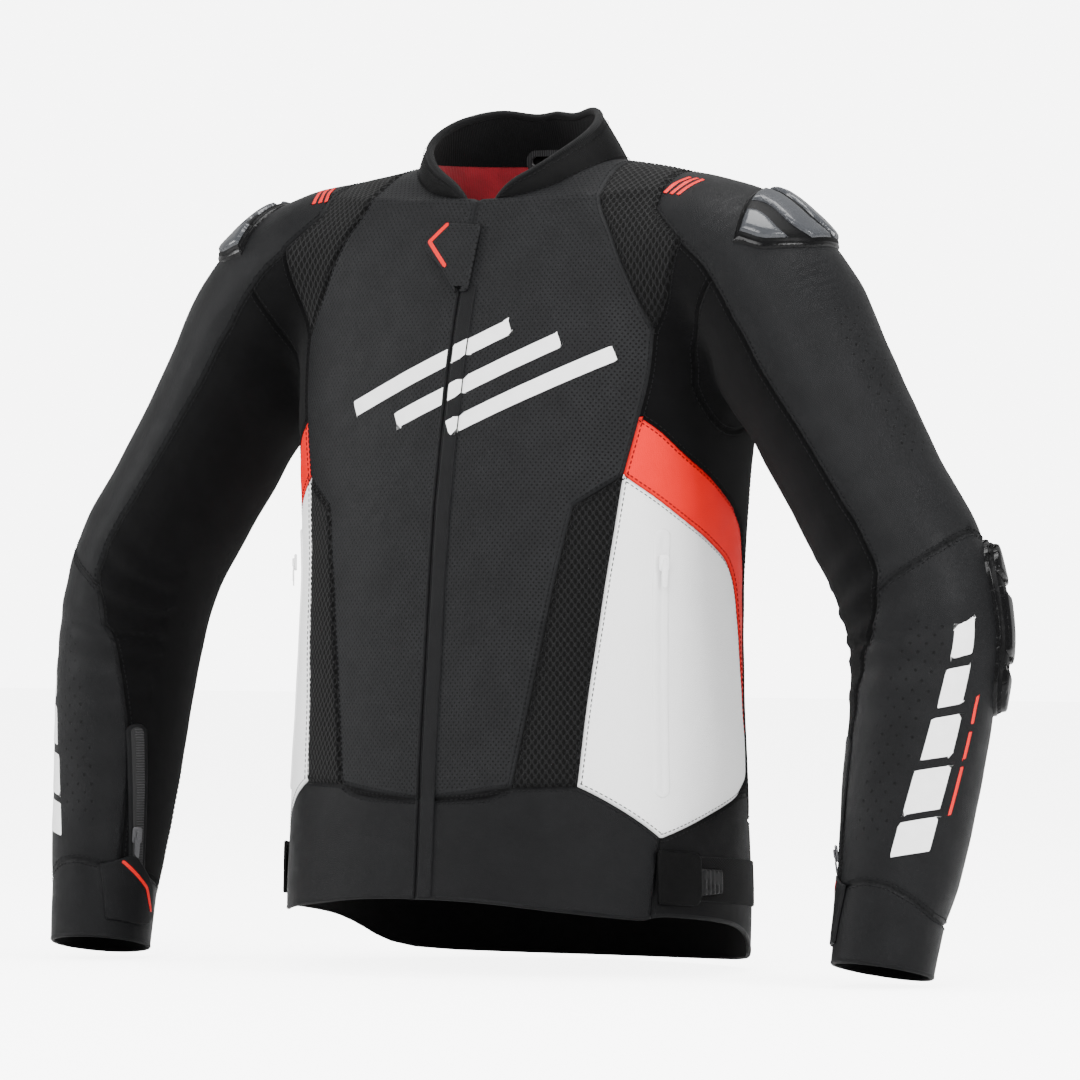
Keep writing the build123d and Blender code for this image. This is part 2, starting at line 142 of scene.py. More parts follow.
def trunk(p):
    """Signed distance to the trunk, roughly in millimetres."""
    half, front, back = (spline(TRUNK_Z, v, p[:, 2]) for v in (HALF_WIDTH, FRONT_Y, BACK_Y))
    middle = MIDDLE_SHARE * (front + back)
    y = p[:, 1] - middle
    depth = np.where(y < 0, middle - front, back - middle)
    ring = (np.abs(p[:, 0] / half) ** SQUARENESS + np.abs(y / depth) ** SQUARENESS) ** (1 / SQUARENESS)
    return np.maximum(np.hypot(p[:, 0], y) * (1 - 1 / np.maximum(ring, 1e-3)), p[:, 2] - TRUNK_TOP)


def sleeve_line(count=150):
    """The centreline: length along, then centre and half sizes, and the frame at each sample."""
    table = np.array(SLEEVE, float)
    at = np.concatenate([[0], np.cumsum(np.linalg.norm(np.diff(table[:, :3], axis=0), axis=1))])
    length = np.linspace(0, at[-1], count)
    rows = np.stack([spline(at, table[:, k], length) for k in range(5)], 1)
    tangent = np.gradient(rows[:, :3], axis=0)
    tangent /= np.linalg.norm(tangent, axis=1)[:, None]
    fore = np.array([0, 1.0, 0]) - tangent[:, 1:2] * tangent
    fore /= np.linalg.norm(fore, axis=1)[:, None]
    return length, rows, tangent, fore, np.cross(tangent, fore)


LENGTH, ROWS, TANGENT, FORE, OUTWARD = sleeve_line()
SLEEVE_END = LENGTH[-1]


BATCH = 20000           # points handled at once


def sleeve_coords(p):
    """Length along the left sleeve, offsets outward and aft, and the half sizes there."""
    result = np.empty((len(p), 5))
    for start in range(0, len(p), BATCH):
        q = p[start:start + BATCH]
        j = ((q[:, None] - ROWS[None, :, :3]) ** 2).sum(2).argmin(1)
        t = LENGTH[j] + ((q - ROWS[j, :3]) * TANGENT[j]).sum(1)
        inside = np.clip(t, 0, SLEEVE_END)
        row = np.stack([np.interp(inside, LENGTH, ROWS[:, k]) for k in range(5)], 1)
        out = np.stack([np.interp(inside, LENGTH, OUTWARD[:, k]) for k in range(3)], 1)
        aft = np.stack([np.interp(inside, LENGTH, FORE[:, k]) for k in range(3)], 1)
        away = q - row[:, :3]
        offsets = [t, (away * out).sum(1), (away * aft).sum(1), row[:, 3:]]
        result[start:start + BATCH] = np.column_stack(offsets)
    return result


def sleeve(p):
    s = sleeve_coords(p)
    ring = np.hypot(s[:, 1] / s[:, 3], s[:, 2] / s[:, 4])
    return np.hypot(s[:, 1], s[:, 2]) * (1 - 1 / np.maximum(ring, 1e-3))


def form(p):
    """Signed distance to the left half of the jacket."""
    a, b = trunk(p), sleeve(p)
    h = np.clip(0.5 + 0.5 * (b - a) / ARMPIT_BLEND, 0, 1)
    return b * (1 - h) + a * h - ARMPIT_BLEND * h * (1 - h)


def gradient(field, p, step=0.5):
    """The field's slope at each point."""
    moves = np.eye(3) * step
    return np.stack([(field(p + m) - field(p - m)) / (2 * step) for m in moves], 1)


def unit(v):
    return v / np.maximum(np.linalg.norm(v, axis=-1, keepdims=True), 1e-9)


# ---- meshing ---------------------------------------------------------------------------------------------
def surface_mesh(field, low, high, step):
    """Vertices and triangles of the field's zero surface, on a grid of cells."""
    axes = [np.arange(a, b + step, step, dtype=float) for a, b in zip(low, high)]
    grid = np.stack(np.meshgrid(*axes, indexing="ij"), -1)
    shape = grid.shape[:3]
    values = field(grid.reshape(-1, 3)).reshape(shape)
    cells = tuple(n - 1 for n in shape)
    total = np.zeros(cells + (3,))
    count = np.zeros(cells)
    corners = [(i, j, k) for i in (0, 1) for j in (0, 1) for k in (0, 1)]

    def corner(array, c):
        return array[c[0]:c[0] + cells[0], c[1]:c[1] + cells[1], c[2]:c[2] + cells[2]]

    for axis in range(3):
        for c in corners:
            if c[axis]:
                continue
            d = tuple(v + (n == axis) for n, v in enumerate(c))
            a, b = corner(values, c), corner(values, d)
            crossing = (a < 0) != (b < 0)
            share = np.where(crossing, a / np.where(crossing, a - b, 1), 0)
            point = corner(grid, c) + share[..., None] * (corner(grid, d) - corner(grid, c))
            total += np.where(crossing[..., None], point, 0)
            count += crossing
    used = count > 0
    index = np.full(cells, -1)
    index[used] = np.arange(used.sum())
    vertices = total[used] / count[used][:, None]
    quads = []
    for axis in range(3):
        u, v = [n for n in range(3) if n != axis]
        low_end = [slice(1, -1)] * 3
        low_end[axis] = slice(0, -1)
        high_end = list(low_end)
        high_end[axis] = slice(1, None)
        a, b = values[tuple(low_end)], values[tuple(high_end)]
        at = np.argwhere((a < 0) != (b < 0))
        entering = (a < 0)[tuple(at.T)]
        base = at.copy()
        base[:, u] += 1
        base[:, v] += 1
        ring = []
        for du, dv in ((0, 0), (1, 0), (1, 1), (0, 1)):
            cell = base.copy()
            cell[:, u] -= du
            cell[:, v] -= dv
            ring.append(index[tuple(cell.T)])
        quad = np.stack(ring, 1)
        flip = entering if axis != 1 else ~entering
        quad[~flip] = quad[~flip][:, ::-1]
        quads.append(quad)
    quads = np.concatenate(quads)
    return vertices, np.concatenate([quads[:, [0, 1, 2]], quads[:, [0, 2, 3]]])


def split(vertices, triangles, values):
    """Cuts the triangles along the line where the values cross zero."""
    values = np.where(np.abs(values) < 0.02, 0.02, values)
    side = values > 0
    mixed = side[triangles].any(1) & ~side[triangles].all(1)
    if not mixed.any():
        return vertices, triangles
    tri = triangles[mixed]
    lone_positive = side[tri].sum(1) == 1
    lone = np.argmax(side[tri] == lone_positive[:, None], axis=1)
    rows = np.arange(len(tri))
    a, b, c = (tri[rows, (lone + k) % 3] for k in range(3))
    pairs = np.sort(np.concatenate([np.stack([a, b], 1), np.stack([a, c], 1)]), axis=1)
    edges, where = np.unique(pairs, axis=0, return_inverse=True)
    where = where.reshape(-1)
    v0, v1 = values[edges[:, 0]], values[edges[:, 1]]
    share = (v0 / (v0 - v1))[:, None]
    added = vertices[edges[:, 0]] * (1 - share) + vertices[edges[:, 1]] * share
    ab = where[:len(tri)] + len(vertices)
    ac = where[len(tri):] + len(vertices)
    pieces = [np.stack(t, 1) for t in ((a, ab, ac), (ab, b, c), (ab, c, ac))]
    return np.concatenate([vertices, added]), np.concatenate([triangles[~mixed]] + pieces)


def compact(vertices, triangles):
    """Drops unused vertices; returns the kept vertices, their old numbers and the triangles."""
    used = np.unique(triangles)
    number = np.zeros(len(vertices), int)
    number[used] = np.arange(len(used))
    return vertices[used], used, number[triangles]


def vertex_normals(vertices, triangles):
    a, b, c = (vertices[triangles[:, k]] for k in range(3))
    face = np.cross(b - a, c - a)
    normals = np.zeros_like(vertices)
    for k in range(3):
        np.add.at(normals, triangles[:, k], face)
    return unit(normals)


def edges_of(triangles):
    """Every triangle's three directed edges: all the first ones, then the second and the third."""
    return np.concatenate([triangles[:, [0, 1]], triangles[:, [1, 2]], triangles[:, [2, 0]]])


def boundary_edges(triangles):
    """Directed edges that belong to one triangle only."""
    edges = edges_of(triangles)
    key = np.sort(edges, axis=1)
    _, where, count = np.unique(key, axis=0, return_inverse=True, return_counts=True)
    return edges[count[where.reshape(-1)] == 1]


def chains(edges):
    """Joins edges end to end into runs of vertex numbers."""
    neighbours = {}
    for a, b in edges.tolist():
        neighbours.setdefault(a, []).append(b)
        neighbours.setdefault(b, []).append(a)
    left = {tuple(sorted(e)) for e in edges.tolist()}
    starts = [v for v, n in neighbours.items() if len(n) != 2] + list(neighbours)
    runs = []
    for start in starts:
        for following in neighbours[start]:
            if tuple(sorted((start, following))) not in left:
                continue
            run = [start, following]
            left.discard(tuple(sorted((start, following))))
            while len(neighbours[run[-1]]) == 2:
                onward = [n for n in neighbours[run[-1]] if tuple(sorted((run[-1], n))) in left]
                if not onward:
                    break
                left.discard(tuple(sorted((run[-1], onward[0]))))
                run.append(onward[0])
            runs.append(run)
    return runs


def refine(vertices, triangles):
    """Splits every triangle into four and puts the new points on the form."""
    edges, where = np.unique(np.sort(edges_of(triangles), axis=1), axis=0, return_inverse=True)
    middle = on_form(vertices[edges].mean(1), both_sides)
    ab, bc, ca = (where.reshape(-1).reshape(3, -1) + len(vertices))
    a, b, c = triangles.T
    quarters = [np.stack(t, 1) for t in ((a, ab, ca), (ab, b, bc), (ca, bc, c), (ab, bc, ca))]
    return np.concatenate([vertices, middle]), np.concatenate(quarters)


def on_form(p, field=form):
    """Moves points onto the form's surface."""
    for _ in range(2):
        slope = gradient(field, p)
        p = p - field(p)[:, None] * slope / np.maximum((slope**2).sum(1), 0.2)[:, None]
    return p


# ---- seam lines on the wearer's left ---------------------------------------------------------------------
MESH_IN = [(100, 24), (106, -16), (113, -41), (127, -64), (142, -95), (153, -119), (166, -144)]
MESH_OUT = [(166, -144), (177, -115), (190, -71), (161, -45), (150, 24)]
FRONT_EDGE = [(166, -144), (165, -179), (160, -213), (151, -260)]
FLANK_IN = [(117, -285), (104, -359), (92, -439), (81, -509)]
FRONT_HEM = [(81, -509), (43, -515), (0, -520)]
SIDE_FRONT = [(-88, -260), (-100, -344), (-114, -439), (-123, -508)]
FLANK_REAR = [(-145, -509), (-135, -439), (-123, -359), (-111, -285)]
BAND_TOP = [
    (-78, -213), (-66, -225), (-47, -244), (-12, -267), (18, -288), (36, -310), (47, -345), (52, -400), (54, -470),
]
BAND_BOTTOM = [
    (-88, -260), (-76, -272), (-50, -293), (-18, -312), (11, -330), (27, -354), (37, -390), (46, -440), (50, -470),
]
WHITE_HEM = [(-123, -508), (-74, -550)]
WHITE_REAR = [(22, -519), (48, -505)]
WAIST_SEAM = [(-200, -523), (-156, -520), (-145, -509), (-123, -508), (-74, -550)]
WAIST_REAR = [(-76, -558), (-87, -640)]
HEM = [
    (-200, -592), (-170, -595), (-140, -605), (-93, -613), (-70, -611), (0, -619), (37, -629), (90, -652),
    (200, -660),
]
ARMHOLE_Z = [-700, -400, -300, -260, -245, -228, -206, -188, -159, -126, -100, -60]
ARMHOLE_X = [262, 236, 218, 208, 203, 199, 194, 190, 191, 207, 223, 232]
YOKE_Z = [-78, -74, -71, -45, 20]
YOKE_X = [80, 150, 190, 161, 150]
SEAM_T = [0, 186, 202, 229, 268, 310, 395, 458, 505, 529, 573, 612, 650, 690, 760, 830]
SEAM_TURN = [78, 76, 82, 89, 95, 93, 88, 84, 86, 96, 114, 126, 134, 138, 141, 144]
ELBOW_SEAM_TURN = [0, 35, 55, 79, 89, 180]
ELBOW_SEAM_T = [495, 502, 507, 513, 518, 518]
CUFF_SEAM_TURN = [-180, -123, -93, -70, -44, -7, 60, 180]
CUFF_SEAM_T = [769, 767, 762, 763, 769, 778, 780, 769]
STRETCH_SPLIT_T = 430.0
BACK_Y_SEAM = 54.0
TAIL_TOP = -540.0
BACK_ARMHOLE_Z = [-340, -330, -300, -220, -140, -60]
BACK_ARMHOLE_X = [400, 260, 186, 172, 160, 150]
ZIP_GAP = 2.2
ZIP_GAP_TOP = -108.0
FIT_BAND = [
    (-135, -150), (-60, -128), (60, -128), (135, -150), (135, -178), (60, -158), (-60, -158), (-135, -178),
]


def curve(points, each=4):
    """A smooth open line through the points."""
    p = np.asarray(points, float)
    if len(p) < 3:
        return p
    at = np.linspace(0, len(p) - 1, (len(p) - 1) * each + 1)
    padded = np.vstack([2 * p[0] - p[1], p, 2 * p[-1] - p[-2]])
    i = np.minimum(at.astype(int), len(p) - 2)
    t = (at - i)[:, None]
    a, b, c, d = (padded[i + k] for k in range(4))
    return 0.5 * (2 * b + (c - a) * t + (2 * a - 5 * b + 4 * c - d) * t**2 + (3 * b - a - 3 * c + d) * t**3)


def outline(*lines):
    return np.vstack([curve(line) for line in lines])


def inside_outline(points, shape):
    """Signed distance to a closed outline, negative inside."""
    best = np.full(len(points), np.inf)
    inside = np.zeros(len(points), bool)
    x, y = points.T
    for start, end in zip(shape, np.roll(shape, -1, 0)):
        edge = end - start
        away = points - start
        share = np.clip(away @ edge / max(edge @ edge, 1e-9), 0, 1)
        best = np.minimum(best, ((away - share[:, None] * edge) ** 2).sum(1))
        if start[1] != end[1]:
            crossing = (start[1] > y) != (end[1] > y)
            inside ^= crossing & (x < edge[0] * (y - start[1]) / edge[1] + start[0])
    return np.where(inside, -1, 1) * np.sqrt(best)


OUTLINES = {
    "front_panel": outline([(-40, 24), (100, 24)], MESH_IN, FRONT_EDGE, FLANK_IN, FRONT_HEM, [(-40, -520)]),
    "shoulder_mesh": outline(MESH_IN, MESH_OUT[:2], MESH_OUT[1:3], MESH_OUT[2:4], MESH_OUT[3:]),
    "flank_mesh": outline(SIDE_FRONT, FLANK_REAR),
    "side_panel": outline(BAND_BOTTOM, WHITE_REAR[::-1], WHITE_HEM[::-1], SIDE_FRONT[::-1]),
    "side_band": outline(BAND_TOP, BAND_BOTTOM[::-1]),
    "waist_panel": outline(WAIST_SEAM[:3], WAIST_SEAM[2:4], WAIST_SEAM[3:], WAIST_REAR, [(-200, -640)]),
    "below_hem": outline(HEM, [(200, -900), (-200, -900)]),
}


class Place:
    """Points with everything the seam fields read."""

    def __init__(self, p, along_sleeve=None):
        self.p = p
        self.x, self.y, self.z = p.T
        self.front_view = p[:, [0, 2]]
        self.side_view = p[:, [1, 2]]
        self.along_sleeve = s = sleeve_coords(p) if along_sleeve is None else along_sleeve
        self.t = s[:, 0]
        self.turn = np.degrees(np.arctan2(s[:, 2] / s[:, 4], s[:, 1] / s[:, 3]))
        self.radius = (s[:, 3] + s[:, 4]) / 2
        self.beyond_armhole = self.x - np.interp(self.z, ARMHOLE_Z, ARMHOLE_X)

    def grown(self, p):
        """The same for a longer list that starts with these points."""
        return Place(p, np.vstack([self.along_sleeve, sleeve_coords(p[len(self.p):])]))


def cone_field(q):
    """Signed distance from the collar cone, negative in the neck opening."""
    heights = [row[0] for row in CONE]
    a, b, c = (np.interp(q.z, heights, [row[k] for row in CONE]) for k in (1, 2, 3))
    ring = np.hypot(q.x / a, (q.y - c) / b)
    return np.hypot(q.x, q.y - c) * (1 - 1 / np.maximum(ring, 1e-3))


def leather_sleeve(q):
    """Negative on the leather of the yoke and sleeve."""
    seam = np.interp(q.t, SEAM_T, SEAM_TURN)
    across = np.radians(np.abs(q.turn) - seam) * q.radius
    return np.maximum(across, np.interp(q.z, YOKE_Z, YOKE_X) - q.x)


def elbow_seam(q):
    """Along the sleeve from the seam above the elbow."""
    return q.t - np.interp(np.abs(q.turn), ELBOW_SEAM_TURN, ELBOW_SEAM_T)


def cuff_seam(q):
    """Along the sleeve from the seam of the cuff."""
    return q.t - np.interp(q.turn, CUFF_SEAM_TURN, CUFF_SEAM_T)


def on_torso(name, view, low_x=-100.0, high_y=400.0):
    """A torso panel's field: inside its outline, on the torso's side of the armhole."""
    def field(q):
        value = inside_outline(getattr(q, view), OUTLINES[name])
        value = np.maximum(value, q.beyond_armhole)
        return np.maximum(value, np.maximum(low_x - q.x, q.y - high_y))
    return field


FIELDS = {
    "neck": cone_field,
    "hem": lambda q: inside_outline(q.side_view, OUTLINES["below_hem"]),
    "shoulder_mesh": on_torso("shoulder_mesh", "front_view", high_y=8.0),
    "front_panel": on_torso("front_panel", "front_view", high_y=30.0),
    "flank_mesh": on_torso("flank_mesh", "side_view", low_x=60.0),
    "side_panel": on_torso("side_panel", "side_view", low_x=90.0),
    "side_band": on_torso("side_band", "side_view", low_x=90.0),
    "waist_panel": on_torso("waist_panel", "side_view"),
    "leather_sleeve": leather_sleeve,
    "armhole": lambda q: q.beyond_armhole,
    "elbow": elbow_seam,
    "cuff": cuff_seam,
    "stretch_split": lambda q: q.t - STRETCH_SPLIT_T,
    "side_seam": lambda q: q.y - BACK_Y_SEAM,
    "back_armhole": lambda q: np.maximum(np.interp(q.z, BACK_ARMHOLE_Z, BACK_ARMHOLE_X) - q.x, 40 - q.y),
    "zip_gap": lambda q: np.maximum(np.maximum(q.x - ZIP_GAP, q.y), q.z - ZIP_GAP_TOP),
    "tail": lambda q: np.where(q.y > BACK_Y_SEAM - 20, TAIL_TOP, -519) - q.z,
    "fit_band": lambda q: np.maximum(inside_outline(q.front_view, np.array(FIT_BAND, float)), 40 - q.y),
}
SEAM_MARGIN = 2.4


def labels(q):
    """The panel's name for each place."""
    f = {name: field(q) for name, field in FIELDS.items()}
    low_sleeve = f["cuff"] > 0
    arm = f["armhole"] > 0
    leather = f["leather_sleeve"] < 0
    rules = [
        ("cut_away", (f["neck"] < 0) & (q.z > -90)),
        ("cut_away", (f["hem"] < 0) & ~arm),
        ("cut_away", q.t > SLEEVE_END - 1),
        ("cut_away", f["zip_gap"] < 0),
        ("shoulder_mesh", f["shoulder_mesh"] < 0),
        ("front_panel", f["front_panel"] < 0),
        ("flank_mesh", f["flank_mesh"] < 0),
        ("side_band", f["side_band"] < 0),
        ("side_panel", f["side_panel"] < 0),
        ("cuff", (arm | leather) & low_sleeve & (q.t > 600)),
        ("forearm_sleeve", leather & (f["elbow"] > 0) & (q.t > 450)),
        ("upper_sleeve", leather),
        ("forearm_stretch", arm & (f["stretch_split"] > 0)),
        ("upper_sleeve_stretch", arm),
        ("waist_panel", f["waist_panel"] < 0),
        ("back_fit_band", f["fit_band"] < 0),
        ("tail_panel", f["tail"] > 0),
        ("armhole_panel", (q.y < BACK_Y_SEAM) & (q.z > -518) & (q.x > 120)),
        ("armhole_panel", f["back_armhole"] < 0),
        ("tail_panel", (q.y < BACK_Y_SEAM) & (q.z < -500)),
        ("back_panel", np.ones(len(q.p), bool)),
    ]
    names = np.full(len(q.p), "", dtype=object)
    for name, where in rules:
        names[(names == "") & where] = name
    return names


def cut_half():
    """The left half of the shell, cut along every seam: vertices, triangles and each triangle's panel."""
    step = 5.0
    v, t = surface_mesh(form, (-2.5 * step, -190, -690), (450, 165, 25), step)
    v = on_form(v)
    v, t = split(v, t, v[:, 0])
    q = Place(v)
    for name, field in FIELDS.items():
        for margin in (0.0,) if name == "stretch_split" else (0.0, -SEAM_MARGIN, SEAM_MARGIN):
            v, t = split(v, t, field(q) - margin)
            q = q.grown(v)
    v, t = split(v, t, q.t - (SLEEVE_END - 1))
    centre = v[t].mean(1)
    names = labels(Place(centre))
    keep = (centre[:, 0] > 0) & (names != "cut_away")
    v, _, t = compact(v, t[keep])
    v[np.abs(v[:, 0]) < 0.05, 0] = 0.0
    return v, t, names[keep]


def whole(v, t, names):
    """Both halves welded at the middle, with the sides in the panels' names."""
    middle = v[:, 0] == 0
    number = np.where(middle, np.arange(len(v)), len(v) + np.cumsum(~middle) - 1)
    vertices = np.concatenate([v, v[~middle] * [-1, 1, 1]])
    triangles = np.concatenate([t, number[t][:, ::-1]])
    central = np.isin(names, ["back_panel", "tail_panel", "back_fit_band"])
    left = np.where(central, names, names + "_left")
    right = np.where(central, names, names + "_right")
    return vertices, triangles, np.concatenate([left, right])


def seam_edges(triangles, names):
    """Edges where two different panels meet, apart from the hidden split in the sleeve's stretch fabric."""
    edges = edges_of(triangles)
    owner = np.tile(np.arange(len(triangles)), 3)
    key = np.sort(edges, axis=1)
    order = np.lexsort((key[:, 1], key[:, 0]))
    key, owner = key[order], owner[order]
    same = (key[1:] == key[:-1]).all(1)
    a, b = names[owner[:-1][same]], names[owner[1:][same]]
    hidden = np.array(["stretch" in m and "stretch" in n and m[-4:] == n[-4:] for m, n in zip(a, b)])
    return key[:-1][same][(a != b) & ~hidden]


half_v, half_t, half_names = cut_half()
smooth_v, shell_t, shell_names = whole(half_v, half_t, half_names)
shell_seams = seam_edges(shell_t, shell_names)
shell_rims = boundary_edges(shell_t)


# ---- how the panels lie ----------------------------------------------------------------------------------
GROOVE = 1.5
GROOVE_WIDTH = 1.5
PUFF = 0.9
PUFF_WIDTH = 9.0


def ripple(p, wavelength, seed):
    """Soft irregular waves from -1 to 1."""
    generator = np.random.default_rng(seed)
    total = np.zeros(len(p))
    for _ in range(5):
        direction = unit(generator.normal(size=3))
        length = wavelength * generator.uniform(0.7, 1.4)
        total += np.sin(p @ direction * math.tau / length + generator.uniform(0, 6))
    return total / 5


def folds(p):
    """How far cloth and leather stand off the smooth form, in millimetres."""
    q = Place(left_side(p))
    arm = smooth(-15, 25, q.beyond_armhole)
    stretch = smooth(-6, 10, np.radians(np.abs(q.turn) - np.interp(q.t, SEAM_T, SEAM_TURN)) * q.radius)
    warp = 9 * ripple(p, 120, 1) + 0.10 * q.turn
    creases = np.sin((q.t + warp) * math.tau / 31)
    inner_elbow = bump(q.t, 545, 75) * bump((q.turn + 150) % 360, 30, 75)
    height = arm * inner_elbow * (1.2 + 1.3 * stretch) * creases
    underarm = bump(q.t, 300, 80) * smooth(95, 150, np.abs(q.turn))
    slanted = np.sin((q.t * 0.75 + q.z * 0.35 + 12 * ripple(p, 150, 2)) * math.tau / 38)
    height += arm * underarm * 1.8 * slanted
    height += arm * 1.3 * ripple(p, 130, 3) + arm * 0.5 * ripple(p, 45, 4)
    low = bump(q.z, -560, 60) * smooth(40, 90, q.x)
    drape = 1.6 * ripple(p * [1, 1, 0.45], 110, 5)
    height += (1 - arm) * (drape + 1.2 * low * ripple(p * [1, 1, 0.3], 60, 6))
    height += (1 - arm) * 0.35 * ripple(p, 38, 7)
    return height


def nearest(points, targets):
    """Distance from each point to the nearest target."""
    tree = KDTree(len(targets))
    for index, target in enumerate(targets):
        tree.insert(target, index)
    tree.balance()
    return np.array([tree.find(point)[2] for point in points])


def line_samples(edges, spacing=1.0):
    """Points along the shell's edges, at most spacing millimetres apart."""
    a, b = smooth_v[edges[:, 0]], smooth_v[edges[:, 1]]
    counts = np.maximum(1, np.ceil(np.linalg.norm(b - a, axis=1) / spacing).astype(int))
    share = np.concatenate([np.arange(n) / n for n in counts])[:, None]
    return np.repeat(a, counts, 0) * (1 - share) + np.repeat(b, counts, 0) * share


def left_side(p):
    """The same places on the wearer's left."""
    return np.column_stack([np.abs(p[:, 0]), p[:, 1], p[:, 2]])


def both_sides(p):
    """Signed distance to the form on either side."""
    return form(left_side(p))


def form_normals(p):
    """Directions that point straight out of the form."""
    return unit(gradient(both_sides, p))


smooth_n = form_normals(smooth_v)
shell_place = Place(left_side(smooth_v))
seam_distance = nearest(smooth_v, line_samples(shell_seams))
puffed = PUFF * (1 - np.exp(-seam_distance / PUFF_WIDTH))
relief = folds(smooth_v) + puffed - GROOVE * bump(seam_distance, 0, GROOVE_WIDTH)
shell_v = smooth_v + smooth_n * relief[:, None]
shell_n = vertex_normals(shell_v, shell_t)


# ---- pieces ----------------------------------------------------------------------------------------------
FINISHES = {}


def add_mesh(name, vertices, triangles, finish, normals=None, flat=None, smooth_shaded=True, marks=None):
    """A mesh object from millimetres; flat holds a pair of metres for each corner of each triangle."""
    triangles = np.asarray(triangles, np.int32)
    mesh = bpy.data.meshes.new(name)
    mesh.vertices.add(len(vertices))
    mesh.vertices.foreach_set("co", (np.asarray(vertices) * MM).astype(np.float32).ravel())
    mesh.loops.add(triangles.size)
    mesh.loops.foreach_set("vertex_index", triangles.ravel())
    mesh.polygons.add(len(triangles))
    mesh.polygons.foreach_set("loop_start", np.arange(0, triangles.size, 3, dtype=np.int32))
    mesh.update(calc_edges=True)
    mesh.polygons.foreach_set("use_smooth", np.full(len(triangles), smooth_shaded))
    if flat is None:
        flat = plane_coords(vertices)[triangles.ravel()]
    layer = mesh.uv_layers.new(name="flat")
    layer.data.foreach_set("uv", np.asarray(flat, np.float32).ravel())
    for key, values in (marks or {}).items():
        mesh.attributes.new(key, "FLOAT", "POINT").data.foreach_set("value", np.asarray(values, np.float32))
    if normals is not None:
        mesh.normals_split_custom_set_from_vertices(normals.tolist())
    mesh.materials.append(FINISHES[finish])
    piece = bpy.data.objects.new(name, mesh)
    bpy.context.collection.objects.link(piece)
    return piece


def plane_coords(vertices):
    """Places on the plane that best fits the vertices, in metres, the second axis as upright as can be."""
    centred = vertices - vertices.mean(0)
    _, _, axes = np.linalg.svd(centred[:: max(1, len(centred) // 4000)], full_matrices=False)
    normal = axes[2]
    up = np.array([0, 0, 1.0]) - normal[2] * normal
    if np.linalg.norm(up) < 0.2:
        up = np.array([0, 1.0, 0]) - normal[1] * normal
    up = unit(up)
    return np.stack([centred @ np.cross(up, normal), centred @ up], 1) * MM


def sleeve_flat(vertices, triangles):
    """Round the sleeve and along it, in metres, for each triangle's corners."""
    q = Place(left_side(vertices))
    turn = q.turn[triangles]
    spread = turn.max(1) - turn.min(1) > 180
    turn = np.where(spread[:, None] & (turn < 0), turn + 360, turn)
    around = np.radians(turn) * q.radius[triangles]
    return np.stack([around, q.t[triangles]], -1).reshape(-1, 2) * MM


TRUNK_RADIUS = 190.0
TRUNK_CENTRE_Y = -60.0


def round_flat(vertices, triangles):
    """Round the trunk and up it, in metres."""
    turn = np.arctan2(vertices[:, 0], vertices[:, 1] - TRUNK_CENTRE_Y)[triangles]
    return np.stack([turn * TRUNK_RADIUS, vertices[triangles][..., 2]], -1).reshape(-1, 2) * MM


# where cloth starts and stops bending over a joint, on the wearer's left, in metres
SHOULDER_FOLD = [(0.195, 0, -0.135), (0.195 + 0.045 * 0.992, 0, -0.135 + 0.045 * 0.124)]
ELBOW_FOLD = [(0.3817, -0.0096, -0.3749), (0.3883, -0.012, -0.4143)]


def mirrored(points, side):
    """Points or directions given on the wearer's left, for either side."""
    return [(SIDES[side] * x, y, z) for x, y, z in points]


def attach(piece, how, side):
    """Rides a body; a piece for the shoulder or the elbow only has its transform baked, and nothing bends."""
    if how == "shoulder":
        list(mirrored(SHOULDER_FOLD, side))
        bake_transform(piece)
    elif how == "elbow":
        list(mirrored(ELBOW_FOLD, side))
        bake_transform(piece)
    else:
        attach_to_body(piece, how)
    return piece


def declare_sheet(piece):
    """Reads a panel's face areas and its flat places; nothing is declared with them."""
    mesh = piece.data
    areas = np.empty(len(mesh.polygons))
    mesh.polygons.foreach_get("area", areas)
    flat = np.empty(len(mesh.loops) * 2)
    mesh.uv_layers["flat"].data.foreach_get("uv", flat)


PANELS = {
    # panel: finish, how it moves, how it lies flat, the CAD nodes it stands for
    "front_panel": ("perforated_leather", "torso", None, ["front_panel"]),
    "shoulder_mesh": ("spacer_mesh", "torso", None, ["shoulder_mesh"]),
    "flank_mesh": ("spacer_mesh", "torso", None, ["flank_mesh"]),
    "side_band": ("red_leather", "torso", None, ["side_band"]),
    "side_panel": ("white_leather", "torso", None, ["side_panel"]),
    "waist_panel": ("black_leather", "torso", None, ["waist_panel"]),
    "armhole_panel": ("stretch_fabric", "shoulder", None, ["armhole_panel", "armhole_gusset"]),
    "upper_sleeve": ("sleeve_leather", "shoulder", sleeve_flat, ["shoulder_yoke", "upper_sleeve"]),
    "upper_sleeve_stretch": ("stretch_fabric", "shoulder", sleeve_flat, ["upper_sleeve_stretch"]),
    "forearm_sleeve": ("sleeve_leather", "elbow", sleeve_flat, ["forearm_sleeve"]),
    "forearm_stretch": ("stretch_fabric", "elbow", sleeve_flat, ["forearm_stretch", "elbow_gusset"]),
    "cuff": ("black_leather", "elbow", sleeve_flat, ["cuff"]),
    "back_panel": ("black_leather", "torso", round_flat, ["back_panel"]),
    "back_fit_band": ("stretch_fabric", "torso", round_flat, []),
    "tail_panel": ("tail_leather", "torso", round_flat, ["tail_panel"]),
}


def hole_areas(q):
    """1 where the sleeve's leather is punched with air holes."""
    centre = np.interp(q.t, [530, 670, 760], [-53, -86, -100])
    forearm = (np.abs(np.radians(q.turn - centre) * q.radius) < 17) & (q.t > 548) & (q.t < 728)
    upper = (np.abs(q.turn + 12) < 15) & (q.t > 292) & (q.t < 432)
    return (forearm | upper).astype(float)


